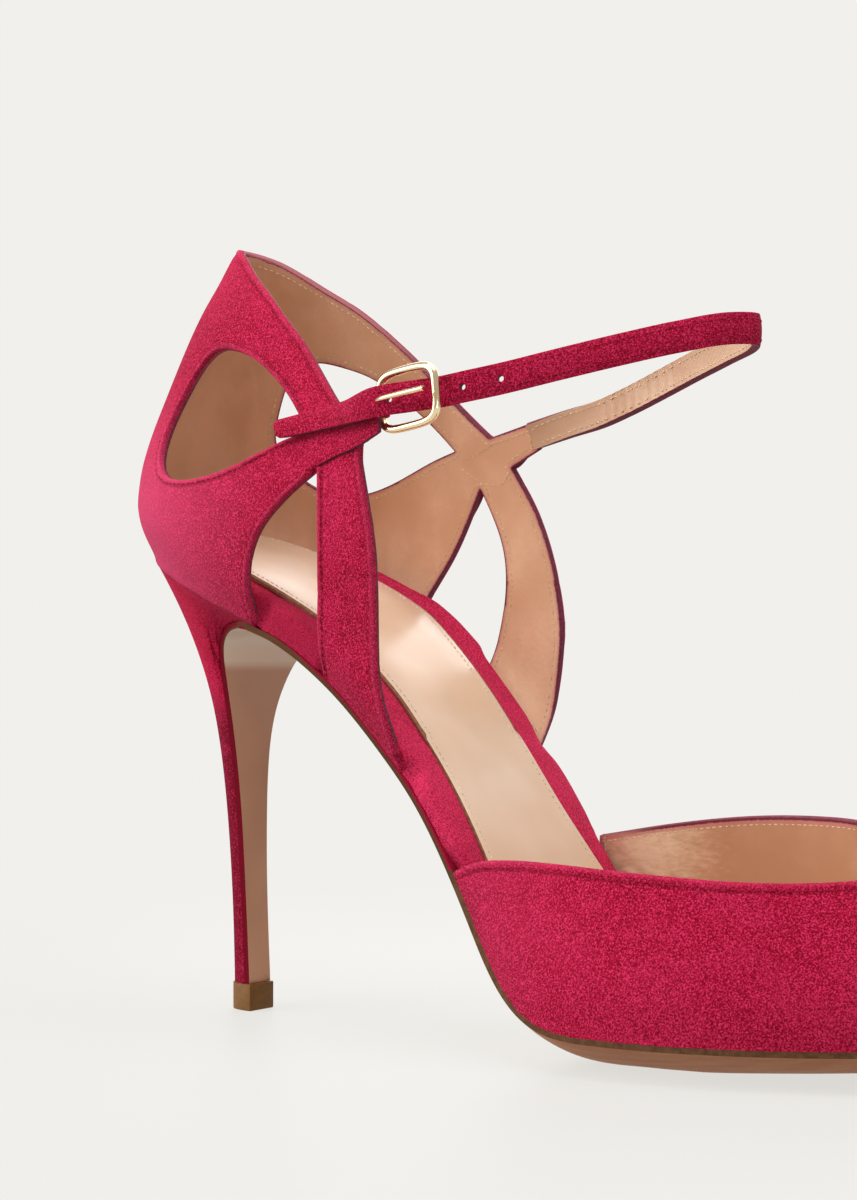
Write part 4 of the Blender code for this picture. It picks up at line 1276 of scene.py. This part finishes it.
def smooth_path(rows, spacing):
    """Rows an even spacing apart on a smooth curve through the given ones."""
    knots = np.array(rows, float)
    length = lengths(knots[:, :3])
    slope = np.gradient(knots, length, axis=0)
    result = []
    for at in np.linspace(0.0, length[-1], int(length[-1] / spacing) + 1):
        i = min(max(int(np.searchsorted(length, at)) - 1, 0), len(knots) - 2)
        span = length[i + 1] - length[i]
        t = (at - length[i]) / span
        rise = knots[i + 1] - knots[i]
        bend_a = span * slope[i] - rise
        bend_b = rise - span * slope[i + 1]
        result.append(knots[i] + t * rise + t * (1 - t) * ((1 - t) * bend_a + t * bend_b))
    return np.array(result)


def strap_frames(path):
    """Point, direction along, direction outward and direction up at each row of the strap's path."""
    runs = np.gradient(path[:, :3], axis=0)
    frames = []
    for row, run in zip(path, runs):
        run = run / np.linalg.norm(run)
        level = np.cross((0.0, 0.0, 1.0), run)
        level = level / np.linalg.norm(level)
        upright = np.cross(run, level)
        lean = math.radians(row[3])
        out = level * math.cos(lean) + upright * math.sin(lean)
        up = upright * math.cos(lean) - level * math.sin(lean)
        frames.append((row[:3], run, out, up))
    return frames


def strap_half(point):
    """Half width of the strap at a point of its path: narrower along its free end."""
    if point[1] > 0.0:
        return STRAP_WIDTH / 2
    table = np.array(STRAP_TAIL)
    return float(np.interp(point[0], table[:, 0], table[:, 1]))


def make_ankle_strap(suede, lining, edge):
    path = smooth_path(ANKLE_STRAP, STRAP_STEP)
    frames = strap_frames(path)
    last = len(frames) - 1
    strap = fresh(bpy.ops.mesh.primitive_grid_add, size=1.0, x_subdivisions=last, y_subdivisions=STRAP_ROWS)
    strap.name = "ankle_strap"
    wear(strap, suede, lining, edge)
    for vertex in strap.data.vertices:
        k = int(round((vertex.co.x + 0.5) * last))
        across = -2.0 * vertex.co.y
        point, run, out, up = frames[k]
        left = np.linalg.norm(point - frames[last][0])
        corner = 1.0 - math.sqrt(1.0 - max(0.0, 1.0 - left / TIP_CORNER) ** 2)
        half = strap_half(point) - TIP_CORNER * corner
        slant = TIP_SLANT * across * (1.0 - float(step(0.0, 3.0, left)))
        crown = 0.35 * (1.0 - across ** 2)
        vertex.co = place(*(point + up * across * half + out * (crown - 0.2) + run * slant))
    thicken(strap, STRAP_THICKNESS, 0.0)
    cut_strap_holes(strap, frames, edge)
    bevel(strap, 0.3, 2, 50.0)
    no_hem(strap)
    wrinkle_strap(strap)
    complete(strap, "ankle_strap")
    return tuple([strap_seam(frames, way, edge_side) for edge_side in (-1.0, 1.0)] for way in (1.0, -1.0))


def strap_seam(frames, way, edge_side):
    """A seam line along one edge of the strap, on its outside or its lining."""
    seam = []
    for point, _, out, up in frames[2:-2]:
        seam_side = edge_side * (strap_half(point) - STRAP_SEAM)
        spot = point + up * seam_side + out * way * STRAP_THICKNESS / 2
        seam.append((place(*spot), Vector(out * way)))
    return seam


def cut_strap_holes(strap, frames, edge):
    """Punches the strap's round holes, on its outer side of the foot."""
    near = [frame for frame in frames if frame[0][1] < 0.0]
    for station in STRAP_HOLES:
        point, _, out, _ = min(near, key=lambda row: abs(row[0][0] - station))
        punch = fresh(bpy.ops.mesh.primitive_cylinder_add, vertices=24,
                      radius=HOLE_RADIUS * MM, depth=PUNCH_DEPTH * MM)
        punch.rotation_mode = "QUATERNION"
        punch.rotation_quaternion = Vector(out).to_track_quat("Z", "Y")
        punch.location = place(*point)
        pick(punch)
        bpy.ops.object.transform_apply(location=True, rotation=True, scale=True)
        wear(punch, edge)
        finish_with(strap, "BOOLEAN", operation="DIFFERENCE", object=punch, solver="EXACT",
                    material_mode="TRANSFER")
        bpy.data.objects.remove(punch, do_unlink=True)


def wrinkle_strap(strap):
    """Fine cross creases in the strap's lining on the inner side of the foot."""
    first, last, pitch, depth = WRINKLES
    points = coordinates(strap.data)
    stations = points[:, 0] - REAR
    wave = np.sin(2.0 * np.pi * (stations + 0.12 * (points[:, 2] - 140.0)) / pitch)
    fade = within((first, first + 5.0), (last - 7.0, last), stations)
    inner = kind_vertices(strap.data, LINING) & (points[:, 1] > 0.0)
    push(strap, np.where(inner, depth * wave * fade, 0.0))


def make_buckle(gold, suede):
    ring = copied("buckle_frame", gold)
    subdivide(ring, 2)
    complete(ring, "buckle_frame")
    prong = copied("buckle_prong", gold)
    crease_folds(prong, 60.0, 0.5)
    subdivide(prong, 2)
    complete(prong, "buckle_prong")
    loop = copied("buckle_loop", suede)
    bevel(loop, 0.12, 2, 50.0)
    no_hem(loop)
    complete(loop, "buckle_loop")


# Studio

CAMERA_PLACE = (0.2736, -0.4347, 0.0802)
CAMERA_YAW = 35.83
CAMERA_RISE = 1.55
CAMERA_LENS = 72.3
FLOOR_RADIUS = 1.5
FLOOR_NEAR = 0.4
FLOOR_PAPER = (197, 197, 193)
# Glow of the paper: nearest and furthest place, share at each
FLOOR_GLOW = (0.15, 0.38, 0.78, 1.0)
COVE_RADIUS = 0.5
COVE_STEPS = 8
COVE_HEIGHT = 0.6


def make_camera():
    data = bpy.data.cameras.new("camera")
    data.lens = CAMERA_LENS
    data.clip_start = 0.01
    camera = added("camera", data)
    yaw, rise = math.radians(CAMERA_YAW), math.radians(CAMERA_RISE)
    ahead = Vector((-math.sin(yaw) * math.cos(rise), math.cos(yaw) * math.cos(rise), math.sin(rise)))
    camera.location = CAMERA_PLACE
    camera.rotation_euler = ahead.to_track_quat("-Z", "Y").to_euler()
    bpy.context.scene.camera = camera


def make_floor():
    """A round pale floor, and a wall apart from it that rises all round."""
    paper = make_floor_paper()
    for name in ("floor", "wall"):
        sheet = fresh(bpy.ops.mesh.primitive_circle_add, vertices=96, radius=FLOOR_RADIUS, fill_type="NGON")
        sheet.name = name
        bpy.ops.object.mode_set(mode="EDIT")
        bpy.ops.mesh.select_all(action="SELECT")
        bpy.ops.mesh.inset(thickness=FLOOR_RADIUS - FLOOR_NEAR)
        if name == "floor":
            bpy.ops.mesh.select_all(action="INVERT")
        bpy.ops.mesh.delete(type="FACE")
        bpy.ops.object.mode_set(mode="OBJECT")
        if name == "wall":
            raise_wall(sheet)
        sheet.data.materials.append(paper)
        pick(sheet)
        bpy.ops.object.shade_smooth()
        sheet.visible_diffuse = False
        sheet.visible_glossy = name == "floor"


def raise_wall(sheet):
    """Turns the wall up in a cove from the floor's rim."""
    radius = FLOOR_RADIUS
    for k in range(1, COVE_STEPS + 1):
        turn = math.pi / 2 * k / COVE_STEPS
        before = math.pi / 2 * (k - 1) / COVE_STEPS
        wider = FLOOR_RADIUS + COVE_RADIUS * math.sin(turn)
        raise_rim(sheet, COVE_RADIUS * (math.cos(before) - math.cos(turn)), wider / radius)
        radius = wider
    raise_rim(sheet, COVE_HEIGHT, 1.0)


def raise_rim(floor, rise, grow):
    """Extrudes the floor's rim up and out."""
    body = bmesh.new()
    body.from_mesh(floor.data)
    outer = max(vertex.co.xy.length for vertex in body.verts) - MM
    rim = [edge for edge in body.edges if edge.is_boundary and edge.verts[0].co.xy.length > outer]
    top = max(vertex.co.z for edge in rim for vertex in edge.verts) - MM
    rim = [edge for edge in rim if edge.verts[0].co.z > top]
    made = bmesh.ops.extrude_edge_only(body, edges=rim)
    for item in made["geom"]:
        if isinstance(item, bmesh.types.BMVert):
            item.co = Vector((item.co.x * grow, item.co.y * grow, item.co.z + rise))
    body.to_mesh(floor.data)
    body.free()


def make_floor_paper():
    """Paper of one even tone that takes a faint shadow near the shoe."""
    paper = Finish("floor_paper", FLOOR_PAPER, Roughness=0.5, Specular_IOR_Level=0.2)
    glow = paper.nodes.new("ShaderNodeEmission")
    glow.inputs["Color"].default_value = srgb(PAPER)
    away = paper.compute("ShaderNodeVectorMath", "LENGTH", paper.where)
    mix = paper.nodes.new("ShaderNodeMixShader")
    parts = (paper.share(away, *FLOOR_GLOW), paper.shader.outputs["BSDF"], glow.outputs["Emission"])
    for socket, part in zip(mix.inputs, parts):
        paper.links.new(part, socket)
    paper.links.new(mix.outputs["Shader"], paper.nodes["Material Output"].inputs["Surface"])
    return paper.material


# Soft boxes: name, place to camera left, towards the camera, up, size, watts
LIGHTS = (
    ("key", 0.95, 0.4, 0.75, 0.8, 6.5),
    ("top", -0.1, 0.1, 1.25, 1.1, 9.5),
    ("fill", -0.25, 0.62, 0.06, 0.3, 0.9),
    ("left", 1.15, 0.0, 0.25, 0.8, 7.0),
    ("back", -0.15, -1.06, 0.5, 0.8, 5.2),
    ("glint", -0.65, -0.73, 0.7, 0.3, 0.1),
)
AIM = (0.0, 0.0, 0.07)
# Light all round: lowest and highest direction, strength at each
SKY = (-0.6, 0.9, 0.3, 0.7)


def make_lights():
    yaw = math.radians(CAMERA_YAW)
    left = Vector((-math.cos(yaw), -math.sin(yaw), 0.0))
    near = Vector((math.sin(yaw), -math.cos(yaw), 0.0))
    for name, to_left, to_near, rise, size, power in LIGHTS:
        data = bpy.data.lights.new(name, "AREA")
        data.shape = "SQUARE"
        data.size = size
        data.energy = power
        lamp = added(name, data)
        lamp.location = left * to_left + near * to_near + Vector((0.0, 0.0, rise))
        lamp.rotation_euler = (Vector(AIM) - lamp.location).to_track_quat("-Z", "Y").to_euler()
        lamp.visible_camera = False
    make_world()
    bpy.context.scene.view_settings.view_transform = "Standard"


def make_world():
    """Soft light all round, stronger from above."""
    world = bpy.data.worlds.new("studio")
    world.use_nodes = True
    nodes, links = world.node_tree.nodes, world.node_tree.links
    split = nodes.new("ShaderNodeSeparateXYZ")
    links.new(nodes.new("ShaderNodeTexCoord").outputs["Generated"], split.inputs["Vector"])
    background = nodes["Background"]
    links.new(spread(world.node_tree, split.outputs["Z"], SKY, smooth=False), background.inputs["Strength"])
    background.inputs["Color"].default_value = srgb(PAPER)
    bpy.context.scene.world = world


def main():
    make_camera()
    make_floor()
    make_lights()
    # The three numbers in brackets after each sheen weight set where pale sheen is painted towards the back,
    # and how strongly
    suede = make_suede("raspberry_suede", SUEDE_MID, SUEDE_MID, 0.14, (-0.108, -0.055, 0.55))
    vamp_suede = make_suede("vamp_suede", SUEDE_MID, SUEDE_MID, 0.06, (-0.012, 0.024, 0.12))
    insole_suede_lit = make_suede("insole_suede_lit", INSOLE_SUEDE_LIT, INSOLE_SUEDE_LIT, 0.1, (0.1, 0.2, 0.12),
                              painted_shade_spot=(-0.0565, -0.0285, 0.088))
    heel_suede_light_and_shade = make_suede("heel_suede_light_and_shade", HEEL_TOP_LIT, HEEL_SUEDE_SHADED, 0.04, (-0.110, -0.09, 0.1),
                            tuft=0.5, limits=(0.065, 0.0785))
    lining = make_lining("tan_lining", TAN_LINING, 0.35, 0.9)
    strap_lining_shaded = make_lining("strap_lining_shaded", STRAP_LINING_SHADED, 0.35, 0.9)
    vamp_lining = make_lining("vamp_lining", VAMP_LINING, 0.6, 1.5, (-0.001, 0.029, 0.040))
    edge = make_cut_edge()
    sock_leather = make_smooth_leather("nude_sock", NUDE_SOCK, PATCHES, (0.31, 0.43),
                                       Roughness=0.36, Coat_Weight=0.25, Coat_Roughness=0.22)
    sole_leather = make_smooth_leather("nude_sole", NUDE_SOLE, PATCHES, (0.38, 0.5), BREAST_TOP_LIT,
                                       Roughness=0.45, Coat_Weight=0.5, Coat_Roughness=0.3)
    tread_leather = make_smooth_leather("nude_tread", NUDE_TREAD, SCUFFS, (0.52, 0.66),
                                        Roughness=0.6, Specular_IOR_Level=0.2)
    brown = make_layered_edge("brown_edge", BROWN_EDGE)
    sock_edge = make_layered_edge("sock_edge", SOCK_EDGE)
    red_thread = make_thread("red_thread", RED_THREAD)
    beige_thread = make_thread("beige_thread", BEIGE_THREAD)
    pale_thread = make_thread("pale_thread", PALE_THREAD)
    gold = make_gold()
    seats = node_tree("outsole", "heel")

    outer, inner = make_vamp(vamp_suede, vamp_lining, edge, seats)
    quarter, quarter_outer, quarter_inner = make_back_quarter(suede, lining, edge, seats)
    outer += quarter_outer
    inner += quarter_inner
    for name in CROSSINGS:
        outer += make_crossing(name, quarter, suede, edge)
    strap_outer, strap_inner = make_ankle_strap(suede, strap_lining_shaded, edge)
    outer += strap_outer
    inner += strap_inner
    make_insole(insole_suede_lit)
    sock_seams = make_sock(sock_leather, sock_edge)
    make_outsole(sole_leather, tread_leather, brown, make_back_edge())
    make_heel(heel_suede_light_and_shade)
    make_top_lift(make_lift())
    make_buckle(gold, suede)
    make_stitches("suede_stitches", outer, red_thread)
    make_stitches("lining_stitches", inner, beige_thread)
    make_stitches("sock_stitches", sock_seams, pale_thread)


main()
bpy.context.view_layer.update()
